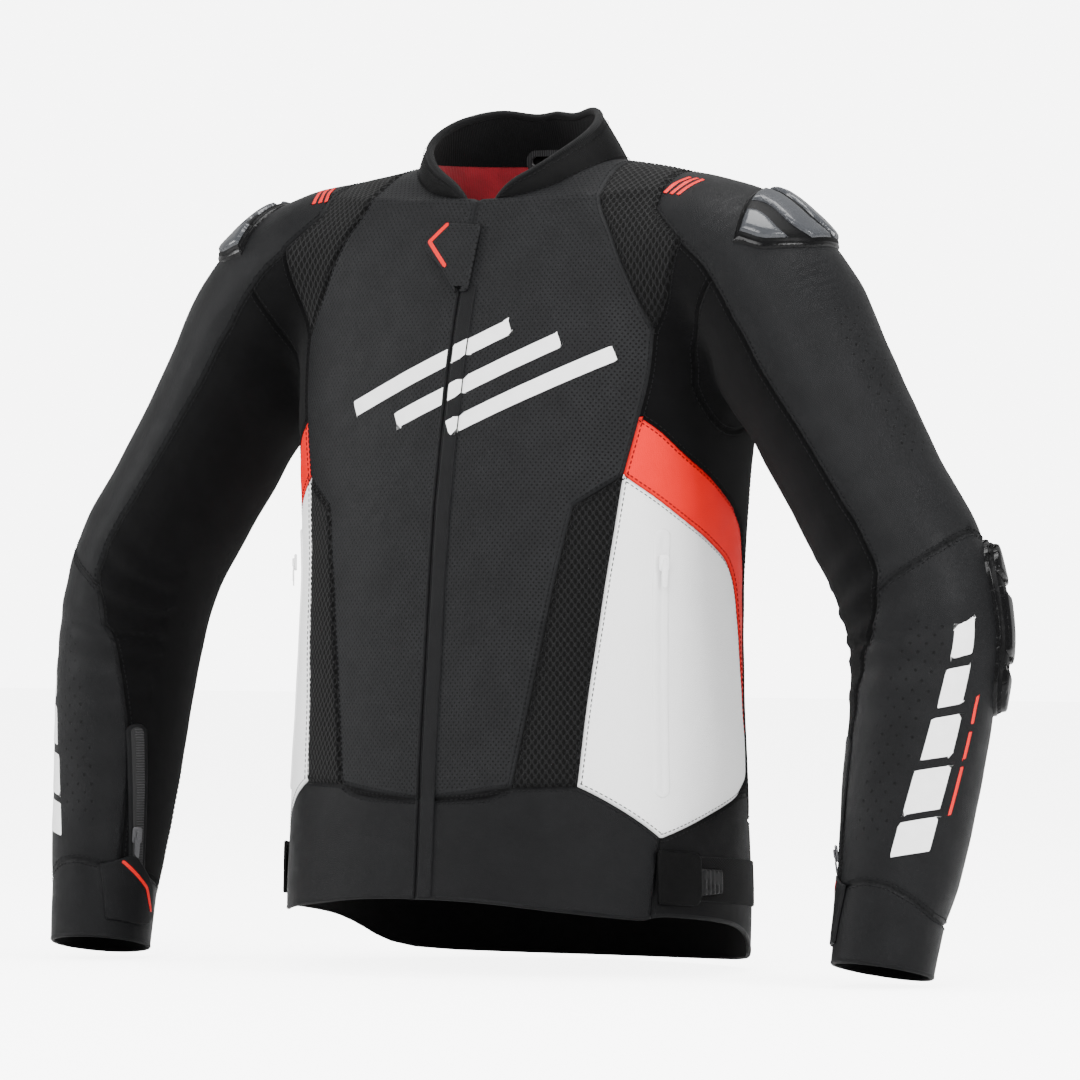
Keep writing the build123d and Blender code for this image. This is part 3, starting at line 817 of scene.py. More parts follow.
def add_panels():
    """One piece for each panel of the shell."""
    for label in sorted(set(shell_names)):
        base, side = label.rsplit("_", 1) if label.endswith(("left", "right")) else (label, "")
        finish, how, lie, nodes = PANELS[base]
        mine = shell_t[shell_names == label]
        v, used, t = compact(shell_v, mine)
        flat = lie(smooth_v[used], t) if lie else plane_coords(smooth_v[used])[t.ravel()]
        marks = {"seam_mm": seam_distance[used], "holes": hole_areas(Place(left_side(smooth_v[used])))}
        piece = add_mesh(f"{label}_skin", v, t, finish, shell_n[used], flat, marks=marks)
        attach(piece, how, side)
        declare_sheet(piece)
        if nodes:
            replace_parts(piece, *(f"{n}_{side}" if side else n for n in nodes))


# ---- finishes --------------------------------------------------------------------------------------------
class Finish:
    """A procedural material under construction."""

    def __init__(self, name, on_cad=False, **settings):
        material = bpy.data.materials.new(name)
        material.use_nodes = True
        self.tree = material.node_tree
        self.shader = self.tree.nodes["Principled BSDF"]
        for socket, value in settings.items():
            self.shader.inputs[socket.replace("_", " ")].default_value = value
        if on_cad:
            self.flat = self.node("ShaderNodeTexCoord").outputs["Object"]
        else:
            self.flat = self.node("ShaderNodeUVMap", uv_map="flat").outputs[0]
        FINISHES[name] = material

    def node(self, kind, *inputs, **settings):
        """A shader node with its first inputs fed and its settings made."""
        made = self.tree.nodes.new(kind)
        for key, value in settings.items():
            setattr(made, key, value)
        for socket, value in zip(made.inputs, inputs):
            self.feed(socket, value)
        return made

    def feed(self, socket, value):
        """Links a socket to another, or gives it a value; None leaves it alone."""
        if isinstance(value, bpy.types.NodeSocket):
            self.tree.links.new(value, socket)
        elif value is not None:
            socket.default_value = value

    def math(self, operation, a, b=0.0):
        return self.node("ShaderNodeMath", a, b, operation=operation).outputs[0]

    def vector(self, operation, a, b=(0, 0, 0)):
        made = self.node("ShaderNodeVectorMath", a, b, operation=operation)
        return made.outputs["Value"] if operation == "LENGTH" else made.outputs[0]

    def noise(self, size, detail=3.0, stretch=(1, 1, 1)):
        """Soft noise from 0 to 1 whose spots are size metres wide."""
        at = self.vector("MULTIPLY", self.flat, tuple(v / size for v in stretch))
        made = self.node("ShaderNodeTexNoise", noise_dimensions="2D")
        self.feed(made.inputs["Vector"], at)
        made.inputs["Scale"].default_value = 1.0
        made.inputs["Detail"].default_value = detail
        return made.outputs[0]

    def cells(self, size):
        """Distance to the edge of irregular cells that are size metres wide, in cells."""
        made = self.node("ShaderNodeTexVoronoi", voronoi_dimensions="2D", feature="DISTANCE_TO_EDGE")
        self.feed(made.inputs["Vector"], self.vector("MULTIPLY", self.flat, (1 / size, 1 / size, 1)))
        made.inputs["Scale"].default_value = 1.0
        return made.outputs[0]

    def ramp(self, value, low, high, to_low=0.0, to_high=1.0):
        """Smooth steps from one value at low to another at high."""
        inputs = (value, low, high, to_low, to_high)
        return self.node("ShaderNodeMapRange", *inputs, interpolation_type="SMOOTHSTEP").outputs[0]

    def mix(self, share, a, b):
        """Colour a at share 0, colour b at share 1."""
        made = self.node("ShaderNodeMix", data_type="RGBA")
        self.feed(made.inputs[0], share)
        self.feed(made.inputs[6], a)
        self.feed(made.inputs[7], b)
        return made.outputs[2]

    def dots(self, across, along, radius, squeeze=1.0):
        """Distance in metres from the nearest dot of a staggered lattice, less the dot's radius."""
        lattice = []
        for shift in (0.0, 0.5):
            at = self.vector("MULTIPLY", self.flat, (1 / across, 1 / along, 0))
            at = self.vector("ADD", at, (shift, shift, 0))
            at = self.vector("SUBTRACT", self.vector("FRACTION", at), (0.5, 0.5, 0))
            lattice.append(self.vector("LENGTH", self.vector("MULTIPLY", at, (across, along * squeeze, 0))))
        return self.math("SUBTRACT", self.math("MINIMUM", *lattice), radius)

    def mark(self, name):
        """A value that the mesh stores at its vertices."""
        return self.node("ShaderNodeAttribute", attribute_name=name).outputs["Fac"]

    def bump(self, height, distance, strength=1.0, below=None):
        """A normal from a height that spans distance metres, over another normal if there is one."""
        made = self.node("ShaderNodeBump")
        made.inputs["Strength"].default_value = strength
        made.inputs["Distance"].default_value = distance
        self.feed(made.inputs["Height"], height)
        if below is not None:
            self.feed(made.inputs["Normal"], below)
        return made.outputs[0]

    def finish(self, colour, roughness, normal):
        """Joins the results to the shader."""
        self.feed(self.shader.inputs["Base Color"], colour)
        self.feed(self.shader.inputs["Roughness"], roughness)
        self.feed(self.shader.inputs["Normal"], normal)


def rgb(r, g, b):
    return (r, g, b, 1.0)


def scaled(colour, share, offset=0.0):
    """A lighter or darker colour, no channel above 1."""
    return rgb(*(min(1, c * share + offset) for c in colour))


CLOTH_SHINE = 0.08
# Painted shade: the near-black colour painted into each perforation hole.
HOLE_SHADE_COLOUR = rgb(0.002, 0.002, 0.002)


def leather(name, colour, roughness, holes=None, wear=1.25, grain=0.0013, marked=False):
    """Grained leather with painted shade and some dirt darkening its seam grooves, a little lighter where it rubs.
    """
    f = Finish(name, Specular_IOR_Level=CLOTH_SHINE)
    creases = f.ramp(f.cells(grain), 0.0, 0.25)
    mottle = f.noise(0.03)
    fine = f.noise(0.0009)
    tone = f.mix(f.ramp(mottle, 0.3, 0.75), rgb(*colour), scaled(colour, wear))
    # Painted shade, with some dirt: the colour darkens in the groove within 2.2 mm of a seam.
    seam = f.ramp(f.mark("seam_mm"), 0.0, 2.2, 0.35, 1.0)
    tone = f.mix(seam, scaled(colour, 0.25), tone)
    tone = f.mix(f.math("MULTIPLY", creases, 0.35), tone, f.mix(0.5, tone, scaled(colour, 0.6)))
    rough = f.math("ADD", f.math("MULTIPLY", f.noise(0.012), 0.16), roughness - 0.08)
    height = f.math("ADD", creases, f.math("MULTIPLY", fine, 0.5))
    normal = f.bump(height, 0.00016, 0.7)
    if holes:
        across, along, radius = holes
        depth = f.ramp(f.dots(across, along, radius), -0.0002, 0.00025)
        edge = f.mark("holes") if marked else f.ramp(f.mark("seam_mm"), 5.0, 5.4)
        depth = f.math("SUBTRACT", 1.0, f.math("MULTIPLY", f.math("SUBTRACT", 1.0, depth), edge))
        # Each hole is painted near black: painted shade inside the hole.
        tone = f.mix(depth, HOLE_SHADE_COLOUR, tone)
        normal = f.bump(depth, 0.0006, 0.8, normal)
    f.finish(tone, rough, normal)


def woven(name, colour, roughness=0.85, rib=0.0009, sheen=0.25, bump=0.00025, on_cad=False):
    """Matt cloth of fine crossed ribs; on_cad is for the nodes that keep their CAD mesh."""
    f = Finish(name, on_cad, Specular_IOR_Level=CLOTH_SHINE, Sheen_Weight=sheen, Sheen_Roughness=0.5)
    waves = []
    for k in (0, 1):
        turns = f.vector("MULTIPLY", f.flat, (math.tau / rib, math.tau / rib, 0))
        waves.append(f.math("SINE", f.node("ShaderNodeSeparateXYZ", turns).outputs[k]))
    weave = f.math("MULTIPLY", *waves)
    cloudy = f.noise(0.02, 4.0)
    lint = f.noise(0.0012, 5.0)
    tone = f.mix(f.ramp(weave, -1, 1), scaled(colour, 0.55), rgb(*colour))
    tone = f.mix(f.ramp(cloudy, 0.35, 0.7), tone, f.mix(0.35, tone, scaled(colour, 1.6)))
    if not on_cad:
        # Painted shade, with some dirt: the cloth darkens in the groove within 2.5 mm of a seam.
        seam = f.ramp(f.mark("seam_mm"), 0.0, 2.5, 0.3, 1.0)
        tone = f.mix(seam, scaled(colour, 0.3), tone)
    normal = f.bump(f.math("ADD", weave, lint), bump, 0.6)
    f.finish(tone, f.math("ADD", roughness - 0.05, f.math("MULTIPLY", lint, 0.1)), normal)


def spacer_mesh(name, colour):
    """Open knitted mesh: raised yarn round staggered upright holes."""
    f = Finish(name, Specular_IOR_Level=0.16, Sheen_Weight=0.02)
    away = f.dots(0.0056, 0.0078, 0.0, 0.62)
    yarn = f.ramp(away, 0.0011, 0.0019)
    strand = f.math("SINE", f.math("MULTIPLY", f.noise(0.0006, 2.0), 12.0))
    # Painted shade: the holes between the yarn are painted near black.
    tone = f.mix(yarn, rgb(0.0003, 0.0003, 0.0003), rgb(*colour))
    tone = f.mix(f.ramp(strand, -1, 1), f.mix(0.35, tone, rgb(0, 0, 0)), tone)
    normal = f.bump(yarn, 0.0016, 0.9, f.bump(strand, 0.0001, 0.6))
    f.finish(tone, f.ramp(yarn, 0, 1, 0.95, 0.6), normal)


def moulded(name, colour, roughness, coat=0.0, shine=0.5, metallic=0.0):
    """Moulded plastic, rubber or cast metal with a faint texture and fine scuffs."""
    f = Finish(name, Specular_IOR_Level=shine, Coat_Weight=coat, Coat_Roughness=0.06, Metallic=metallic)
    fine = f.noise(0.0007, 4.0)
    cloud = f.noise(0.015, 5.0)
    scuffs = f.ramp(f.noise(0.004, 6.0, (1, 12, 1)), 0.62, 0.8)
    tone = f.mix(f.ramp(cloud, 0.3, 0.7), scaled(colour, 0.95), rgb(*colour))
    tone = f.mix(f.math("MULTIPLY", scuffs, 0.25), tone, scaled(colour, 1.8, 0.002))
    rough = f.math("ADD", roughness, f.math("MULTIPLY", f.math("ADD", fine, scuffs), 0.08))
    f.finish(tone, rough, f.bump(fine, 0.00004, 0.5))


def zip_teeth(name, colour):
    """Rows of interlocked teeth between two woven tapes, across the first flat axis."""
    f = Finish(name, Specular_IOR_Level=0.5)
    parts = f.node("ShaderNodeSeparateXYZ", f.flat)
    teeth = f.math("SINE", f.math("MULTIPLY", parts.outputs[1], math.tau / 0.0022))
    across = f.math("ABSOLUTE", parts.outputs[0])
    row = f.ramp(across, 0.0028, 0.0034, 1.0, 0.0)
    height = f.math("MULTIPLY", f.ramp(teeth, -0.4, 0.4), row)
    weave = f.noise(0.0006, 3.0)
    # Painted shade: darker where the teeth are low, in the gaps between the teeth; the tapes beside them are
    # darker as well.
    tone = f.mix(height, scaled(colour, 0.35), rgb(*colour))
    f.finish(tone, f.math("SUBTRACT", 0.85, f.math("MULTIPLY", height, 0.45)),
             f.bump(height, 0.0008, 0.9, f.bump(weave, 0.0001, 0.5)))


def make_finishes():
    """Every finish by name, with its base colour and roughness."""
    leather("black_leather", (0.0045, 0.0046, 0.0050), 0.42)
    leather("sleeve_leather", (0.0052, 0.0053, 0.0057), 0.42, holes=(0.0125, 0.0150, 0.0011), marked=True)
    leather("collar_leather", (0.0004, 0.0004, 0.0005), 0.50)
    leather("tail_leather", (0.0025, 0.0025, 0.0028), 0.6)
    leather("perforated_leather", (0.0085, 0.0087, 0.0093), 0.46, holes=(0.0044, 0.0052, 0.00075))
    leather("white_leather", (0.92, 0.92, 0.92), 0.42, wear=1.0)
    leather("red_leather", (0.70, 0.0020, 0.0020), 0.46, wear=1.05)
    woven("stretch_fabric", (0.0016, 0.0016, 0.0018), 0.9, sheen=0.02)
    woven("lining", (0.34, 0.010, 0.020), rib=0.0016, bump=0.0004)
    woven("sleeve_lining", (0.003, 0.003, 0.0035), rib=0.0014, sheen=0.1)
    woven("collar_knit", (0.0025, 0.0025, 0.0028), rib=0.0018, sheen=0.05, bump=0.0005)
    woven("webbing", (0.0016, 0.0016, 0.0018), rib=0.0022, sheen=0.03, bump=0.0005)
    woven("thread", (0.0050, 0.0050, 0.0055), 0.7, rib=0.0008, sheen=0.02)
    woven("node_foam", (0.05, 0.05, 0.055), rib=0.004, bump=0.0006, on_cad=True)
    woven("node_webbing", (0.012, 0.012, 0.013), rib=0.0022, bump=0.0005, on_cad=True)
    woven("node_zip", (0.012, 0.012, 0.013), rib=0.0030, bump=0.0008, on_cad=True)
    spacer_mesh("spacer_mesh", (0.0014, 0.0014, 0.0017))
    moulded("slider_plastic", (0.030, 0.032, 0.036), 0.20, coat=0.08, shine=0.35)
    moulded("slider_matt", (0.0008, 0.0008, 0.0010), 0.42, shine=0.08)
    moulded("slider_black", (0.0008, 0.0008, 0.0010), 0.20, shine=0.15)
    moulded("zip_plastic", (0.0030, 0.0030, 0.0034), 0.38, shine=0.25)
    moulded("zip_metal", (0.10, 0.10, 0.105), 0.30, metallic=1.0)
    moulded("white_print", (0.92, 0.92, 0.92), 0.40, shine=0.2)
    moulded("red_print", (0.60, 0.0045, 0.0035), 0.40, shine=0.2)
    zip_teeth("zip_teeth", (0.010, 0.010, 0.011))


WORLD = 0.75
BACKDROP = 7.0          # this and the next are seen by the camera only: floor and backdrop meet in white
FLOOR_GLOW = 5.6
FLOOR_HALF = 9.0
FLOOR_GAP = 0.004
AIM = Vector((0, 0, -0.3))
LIGHTS = [
    # name, place, size, watts
    ("key", (0.9, -2.9, 1.5), 1.7, 130),
    ("left_strip", (-2.4, -1.2, 0.5), 1.0, 52),
    ("right_strip", (2.5, -0.4, 0.7), 1.0, 80),
    ("top", (0.3, 0.2, 2.4), 1.6, 95),
]


def add_floor():
    """White paper under the jacket, with a glow that only the camera sees."""
    surface = bpy.data.materials.new("floor_paper")
    surface.use_nodes = True
    paper = surface.node_tree
    shader = paper.nodes["Principled BSDF"]
    shader.inputs["Base Color"].default_value = rgb(0.86, 0.86, 0.86)
    shader.inputs["Roughness"].default_value = 0.9
    shader.inputs["Emission Color"].default_value = rgb(1, 1, 1)
    glow = paper.nodes.new("ShaderNodeMath")
    glow.operation = "MULTIPLY"
    glow.inputs[1].default_value = FLOOR_GLOW
    paper.links.new(paper.nodes.new("ShaderNodeLightPath").outputs["Is Camera Ray"], glow.inputs[0])
    paper.links.new(glow.outputs[0], shader.inputs["Emission Strength"])
    mesh = bpy.data.meshes.new("floor")
    low = cad_box[0][2] - FLOOR_GAP
    corners = [(x * FLOOR_HALF, y * FLOOR_HALF, low) for x, y in ((-1, -1), (1, -1), (1, 1), (-1, 1))]
    mesh.from_pydata(corners, [], [(0, 1, 2, 3)])
    mesh.materials.append(surface)
    floor = bpy.data.objects.new("floor", mesh)
    bpy.context.collection.objects.link(floor)


def add_world():
    """Even light all round, and a brighter backdrop that only the camera sees."""
    world = bpy.data.worlds.new("studio")
    world.use_nodes = True
    nodes, links = world.node_tree.nodes, world.node_tree.links
    ambient, backdrop = nodes["Background"], nodes.new("ShaderNodeBackground")
    for background, strength in ((ambient, WORLD), (backdrop, BACKDROP)):
        background.inputs[0].default_value = rgb(1, 1, 1)
        background.inputs[1].default_value = strength
    either = nodes.new("ShaderNodeMixShader")
    links.new(nodes.new("ShaderNodeLightPath").outputs["Is Camera Ray"], either.inputs[0])
    links.new(ambient.outputs[0], either.inputs[1])
    links.new(backdrop.outputs[0], either.inputs[2])
    links.new(either.outputs[0], nodes["World Output"].inputs["Surface"])
    bpy.context.scene.world = world


def add_lights():
    for name, at, size, watts in LIGHTS:
        data = bpy.data.lights.new(name, "AREA")
        data.energy = watts
        data.size = size
        lamp = bpy.data.objects.new(name, data)
        lamp.location = at
        lamp.rotation_euler = (AIM - lamp.location).to_track_quat("-Z", "Y").to_euler()
        bpy.context.collection.objects.link(lamp)


# ---- raised pieces ---------------------------------------------------------------------------------------
NEAR = 14               # patches are cut from triangles this near to the outline
NO_SEAM_SHADE = 50.0      # a seam_mm far from any seam, so no painted seam shade


def patch(field, fine=0, margins=(0.0,)):
    """The part of the smooth form where the field is negative, cut along its edge."""
    near = field(smooth_v) < NEAR
    v, _, t = compact(smooth_v, shell_t[near[shell_t].any(1)])
    for _ in range(fine):
        v, t = refine(v, t)
    for margin in margins:
        v, t = split(v, t, field(v) + margin)
    v, _, t = compact(v, t[field(v[t].mean(1)) < 0])
    return v, t


def weld(v, t):
    """Joins the two halves where they meet on the middle plane."""
    _, first, joined = np.unique(np.round(v, 3), axis=0, return_index=True, return_inverse=True)
    t = joined.ravel()[t]
    whole_ones = (t[:, 0] != t[:, 1]) & (t[:, 1] != t[:, 2]) & (t[:, 2] != t[:, 0])
    return v[first], t[whole_ones]


def plate(name, field, finish, thickness, lift=0.0, edge=1.2, fine=0, shape=None):
    """A closed piece on the surface, with rounded edges; shape adds height in millimetres."""
    v, t = weld(*patch(field, fine, (0.0, 0.3 * edge, edge)))
    depth = np.clip(-field(v) / edge, 0, 1)
    profile = np.sqrt(1 - (1 - depth) ** 2)
    profile[depth < 0.02] = 0
    n = form_normals(v)
    base = v + n * (folds(v) + PUFF + lift)[:, None]
    height = thickness + (shape(v) if shape else 0)
    top = base + n * (profile * height)[:, None]
    inner = np.flatnonzero(profile > 0)
    number = np.arange(len(v))
    number[inner] = len(v) + np.arange(len(inner))
    a, b = boundary_edges(t).T
    walls = np.concatenate([np.stack([b, a, number[a]], 1), np.stack([b, number[a], number[b]], 1)])
    walls = walls[(walls[:, 1] != walls[:, 2]) & (walls[:, 0] != walls[:, 2])]
    triangles = np.concatenate([t, number[t][:, ::-1], walls])
    flat = plane_coords(v)
    flat = np.concatenate([flat, flat[inner]])[triangles.ravel()]
    vertices = np.concatenate([top, base[inner]])
    normals = np.concatenate([vertex_normals(top, t), -n[inner]])
    marks = {"seam_mm": np.full(len(vertices), NO_SEAM_SHADE), "holes": np.zeros(len(vertices))}
    return add_mesh(name, vertices, triangles, finish, normals, flat, marks=marks)


FRONT_LIMIT_Y = -5.0            # the front is everything further forward than this
TORSO_SIDE_X = (90, 203)        # where a side view of the jacket means the torso's side
INNER_CUFF_X = (200, 362)       # and where it means the inside of the cuff


def outline_area(points):
    """A measure of places in a flat view: how far outside the outline."""
    shape = np.asarray(points, float)
    return lambda flat: inside_outline(flat, shape)


def in_front(measure):
    """A field from a measure of (x, z) places on the jacket's front."""
    return lambda p: np.maximum(measure(p[:, [0, 2]]), p[:, 1] - FRONT_LIMIT_Y)


def from_side(measure, side, limits=TORSO_SIDE_X):
    """A field from a measure of (y, z) places on one side, between two distances from the middle."""
    def field(p):
        out = SIDES[side] * p[:, 0]
        return np.maximum(measure(p[:, [1, 2]]), np.maximum(limits[0] - out, out - limits[1]))
    return field


def sleeve_shape(measure, side):
    """A field from a measure of places on the left sleeve."""
    def field(p):
        q = shell_place if p is smooth_v else Place(left_side(p))
        return np.maximum(measure(q), 100 - SIDES[side] * p[:, 0])
    return field


def band(a, b, half_width):
    """The outline of a straight bar between two points, square at its ends."""
    a, b = np.array(a, float), np.array(b, float)
    across = np.array([-(b - a)[1], (b - a)[0]]) / np.linalg.norm(b - a) * half_width
    return [tuple(v) for v in (a - across, b - across, b + across, a + across)]


THROAT_FLAP = [(-24, -55), (-39.5, -70), (-38, -78), (-18, -94), (-3, -112), (9, -112), (11, -57)]
PLACKET = [(2.6, -108), (15.5, -106), (15.5, -612), (2.6, -612)]
CHEVRON = [(-21, -57), (-35, -70.5), (-16, -90.5)]
BELT = [(-40, -565), (100, -575), (100, -613), (-40, -601)]
WAIST_STRAP = [(-80, -559), (-44, -562), (-38, -566), (-38, -600), (-44, -605), (-80, -602)]
STRAP_END = [(-39, -575), (-14, -577), (-12, -580), (-12, -593), (-14, -596), (-39, -597)]
CUFF_TAB = [(-92, -582), (-70, -574), (-52, -600), (-48, -628), (-60, -635), (-95, -628)]
CUFF_TAB_LINE = [(-79, -581), (-60, -603), (-55, -622)]
POCKET = [(-65, -309), (-72, -511)]
EMBLEM_BARS = [((-92, -205), (52, -140)), ((-46, -215), (96, -151)), ((6, -222), (140, -162))]
EMBLEM_HALF = 6.5
POCKET_HALF = 6.5
FLAP_HINGE_LIFT = 1.3
FLAP_THICKNESS = 2.0
PLACKET_THICKNESS = 1.3
PRINT = 0.25            # how thick plain printed marks are
RAISED_PRINT = 0.3
PRINT_EDGE = 0.4


def printed(name, field, finish, thickness=PRINT, lift=0.0, fine=1):
    """A thin mark on the surface."""
    return plate(name, field, finish, thickness, lift, PRINT_EDGE, fine)


def polyline_field(points, half_width):
    """Distance to a line of straight runs, less its half width."""
    runs = list(zip(points, points[1:]))

    def distance(p):
        best = np.full(len(p), np.inf)
        for a, b in runs:
            a, b = np.array(a, float), np.array(b, float)
            share = np.clip((p - a) @ (b - a) / ((b - a) @ (b - a)), 0, 1)
            best = np.minimum(best, np.linalg.norm(p - a - share[:, None] * (b - a), axis=1))
        return best - half_width
    return distance


def add_front_pieces():
    """The placket, the throat flap and the bars across the chest."""
    strip = in_front(outline_area(PLACKET))
    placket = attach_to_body(plate("placket_strip", strip, "black_leather", PLACKET_THICKNESS), "torso")
    declare_sheet(placket)
    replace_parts(placket, "front_placket")
    area = in_front(outline_area(THROAT_FLAP))
    flap = plate("throat_flap_leather", area, "perforated_leather", FLAP_THICKNESS, FLAP_HINGE_LIFT)
    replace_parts(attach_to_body(flap, "throat_flap"), "throat_flap")
    declare_sheet(flap)
    line = in_front(polyline_field(CHEVRON, 1.7))
    lift = FLAP_HINGE_LIFT + FLAP_THICKNESS
    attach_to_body(printed("throat_chevron", line, "red_print", RAISED_PRINT, lift), "throat_flap")
    for number, (a, b) in enumerate(EMBLEM_BARS):
        bar = in_front(outline_area(band(a, b, EMBLEM_HALF)))

        def beside(p, bar=bar):
            return np.maximum(bar(p), -strip(p))

        def over(p, bar=bar):
            return np.maximum(bar(p), strip(p) + 0.5)
        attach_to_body(printed(f"chest_bar_{number}", beside, "white_print", fine=0), "torso")
        if (over(smooth_v) < 0).any():
            name = f"chest_bar_over_placket_{number}"
            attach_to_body(printed(name, over, "white_print", lift=PLACKET_THICKNESS, fine=0), "torso")


def add_side_pieces(side):
    """The belt and its strap, the pocket and the cuff's tab."""
    area = from_side(outline_area(BELT), side)
    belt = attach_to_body(plate(f"waist_belt_{side}", area, "webbing", 1.8), "torso")
    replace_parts(belt, "waist_belts")
    declare_sheet(belt)
    area = from_side(outline_area(WAIST_STRAP), side)
    strap = plate(f"waist_strap_tab_{side}", area, "collar_leather", 2.0, 2.3)
    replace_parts(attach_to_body(strap, f"waist_strap_{side}"), f"waist_strap_{side}")
    declare_sheet(strap)

    def ribs(p):
        return 0.5 * np.cos(p[:, 1] * math.tau / 5)
    area = from_side(outline_area(STRAP_END), side)
    end = plate(f"waist_strap_pull_{side}", area, "zip_plastic", 2.4, 2.3, 1.2, 1, ribs)
    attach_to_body(end, f"waist_strap_{side}")
    groove = polyline_field(POCKET, 0.0)

    def lips(p):
        return -0.8 * bump(groove(p[:, [1, 2]]), 0, 1.6)
    area = from_side(polyline_field(POCKET, POCKET_HALF), side)
    pocket = plate(f"pocket_welt_{side}", area, "white_leather", 1.3, 0.0, 1.6, 1, lips)
    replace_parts(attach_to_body(pocket, "torso"), "pocket_zips")
    area = from_side(outline_area(CUFF_TAB), side, INNER_CUFF_X)
    tab = plate(f"cuff_tab_leather_{side}", area, "black_leather", 1.8, 0.6)
    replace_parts(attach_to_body(tab, f"cuff_tab_{side}"), f"cuff_tab_{side}")
    declare_sheet(tab)
    line = from_side(polyline_field(CUFF_TAB_LINE, 1.4), side, INNER_CUFF_X)
    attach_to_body(printed(f"cuff_tab_line_{side}", line, "red_print", RAISED_PRINT, 2.4), f"cuff_tab_{side}")


# ---- plain printed marks ---------------------------------------------------------------------------------
PRINT_T = [548, 738]
PRINT_TURN = [-28, -53]
# start, end, half width
DASHES = [(552, 578, 9), (586, 616, 10), (624, 658, 12), (666, 702, 14), (708, 736, 15)]
DASH_SLANT = 0.35
RED_DASHES = [(604, 626), (632, 654), (660, 700)]
RED_DASH_HALF = 1.5
RED_DASH_OFFSET = 24.0
SHOULDER_DASH_HALF = 1.6
SHOULDER_LOW = -60      # the top of the shoulder is everything above this z
SHOULDER_DASHES = [((163, -44), (172, -18)), ((169, -44), (178, -18)), ((175, -44), (184, -18))]


def forearm_dash(start, end, half, offset=0.0):
    """A slanted block along the forearm; offset moves it round the arm."""
    def measure(q):
        across = np.radians(q.turn - np.interp(q.t, PRINT_T, PRINT_TURN)) * q.radius - offset
        along = q.t - (start + end) / 2 + DASH_SLANT * across
        return np.maximum(np.abs(across) - half, np.abs(along) - (end - start) / 2)
    return measure


def add_prints(side):
    """The blocks and lines on the forearm and the short lines on the shoulder."""
    for number, (start, end, half) in enumerate(DASHES):
        area = sleeve_shape(forearm_dash(start, end, half), side)
        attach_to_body(printed(f"forearm_dash_{number}_{side}", area, "white_print", fine=0), f"forearm_{side}")
    for number, (start, end) in enumerate(RED_DASHES):
        area = sleeve_shape(forearm_dash(start, end, RED_DASH_HALF, RED_DASH_OFFSET), side)
        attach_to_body(printed(f"forearm_line_{number}_{side}", area, "red_print"), f"forearm_{side}")
    for number, (a, b) in enumerate(SHOULDER_DASHES):
        bar = np.array(band(a, b, SHOULDER_DASH_HALF), float)

        def from_above(p, bar=bar):
            return np.maximum(inside_outline(p[:, :2] * [SIDES[side], 1], bar), SHOULDER_LOW - p[:, 2])
        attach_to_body(printed(f"shoulder_dash_{number}_{side}", from_above, "red_print"), "torso")


# ---- sliders on the shoulders and elbows -----------------------------------------------------------------
SHOULDER_OUTLINE = [
    (236, -60), (262, -50), (283, -22), (286, 12), (274, 42), (252, 53), (234, 34), (229, -12),
]
ELBOW_CENTRE_T = 556.0
ELBOW_CENTRE_TURN = 32.0
ELBOW_HALF = (30.0, 27.0)
# heights in millimetres of the foot, the bands and the plates, and how far each lies inside the outline
SHOULDER_HEIGHTS = (3.5, 6.5, 9.0)
ELBOW_HEIGHTS = (4.0, 8.0, 11.0)
BANDS_INSET = 2.0
PLATES_INSET = 4.0
SHOULDER_CUTS = [(-90, -36), (-26, -2), (7, 26), (34, 80)]
ELBOW_CUTS = [(-90, -26), (-19, 18), (25, 90)]


def shoulder_outline_field(side):
    """A field over the shoulder slider's outline, seen from above."""
    shape = curve(SHOULDER_OUTLINE + SHOULDER_OUTLINE[:1], 6)[:-1]

    def field(p):
        left = left_side(p)
        value = np.maximum(inside_outline(left[:, :2], shape), -105 - p[:, 2])
        return np.maximum(value, 100 - SIDES[side] * p[:, 0])
    return field


def elbow_outline_field(side):
    """A field over the elbow slider's long outline on the sleeve."""
    def measure(q):
        along = np.abs(q.t - ELBOW_CENTRE_T)
        around = np.radians(q.turn - ELBOW_CENTRE_TURN) * q.radius
        taper = 1 + 0.18 * (q.t - ELBOW_CENTRE_T) / 56
        return np.hypot(np.maximum(along - ELBOW_HALF[0], 0), around * taper) - ELBOW_HALF[1]
    return sleeve_shape(measure, side)


def add_slider(name, outline_field, bands, body, heights, gloss):
    """A hard slider: a black foot, matt bands over it and plates between the bands."""
    foot, middle, plates = heights
    base = plate(f"{name}_foot", outline_field, "slider_black", foot, -0.5, 3.0, 1)
    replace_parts(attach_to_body(base, body), name)

    def inset(p):
        return outline_field(p) + BANDS_INSET
    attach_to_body(plate(f"{name}_bands", inset, "slider_matt", middle - foot, foot - 0.9, 7.0, 1), body)
    for number, (low, high) in enumerate(bands):
        def between(p, low=low, high=high):
            return np.maximum(outline_field(p) + PLATES_INSET, np.maximum(low(p), high(p)))
        piece = plate(f"{name}_plate_{number}", between, gloss, plates - middle + 1.5, middle - 2.2, 4.0, 1)
        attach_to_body(piece, body)


def slices(measure, cuts):
    """A pair of fields for each slice of a measure, one for its start and one for its end."""
    return [(lambda p, a=a: a - measure(p), lambda p, b=b: measure(p) - b) for a, b in cuts]


def shoulder_measure(p):
    """From front to back over the shoulder, on a slant and in an S."""
    out = np.abs(p[:, 0]) - 256
    return p[:, 1] - 0.45 * out + 5 * np.sin(out / 9)


def elbow_measure(p):
    """Down the sleeve from the middle of the elbow, in a shallow bow."""
    q = shell_place if p is smooth_v else Place(left_side(p))
    around = np.radians(q.turn - ELBOW_CENTRE_TURN) * q.radius
    return q.t - ELBOW_CENTRE_T + 0.012 * around ** 2


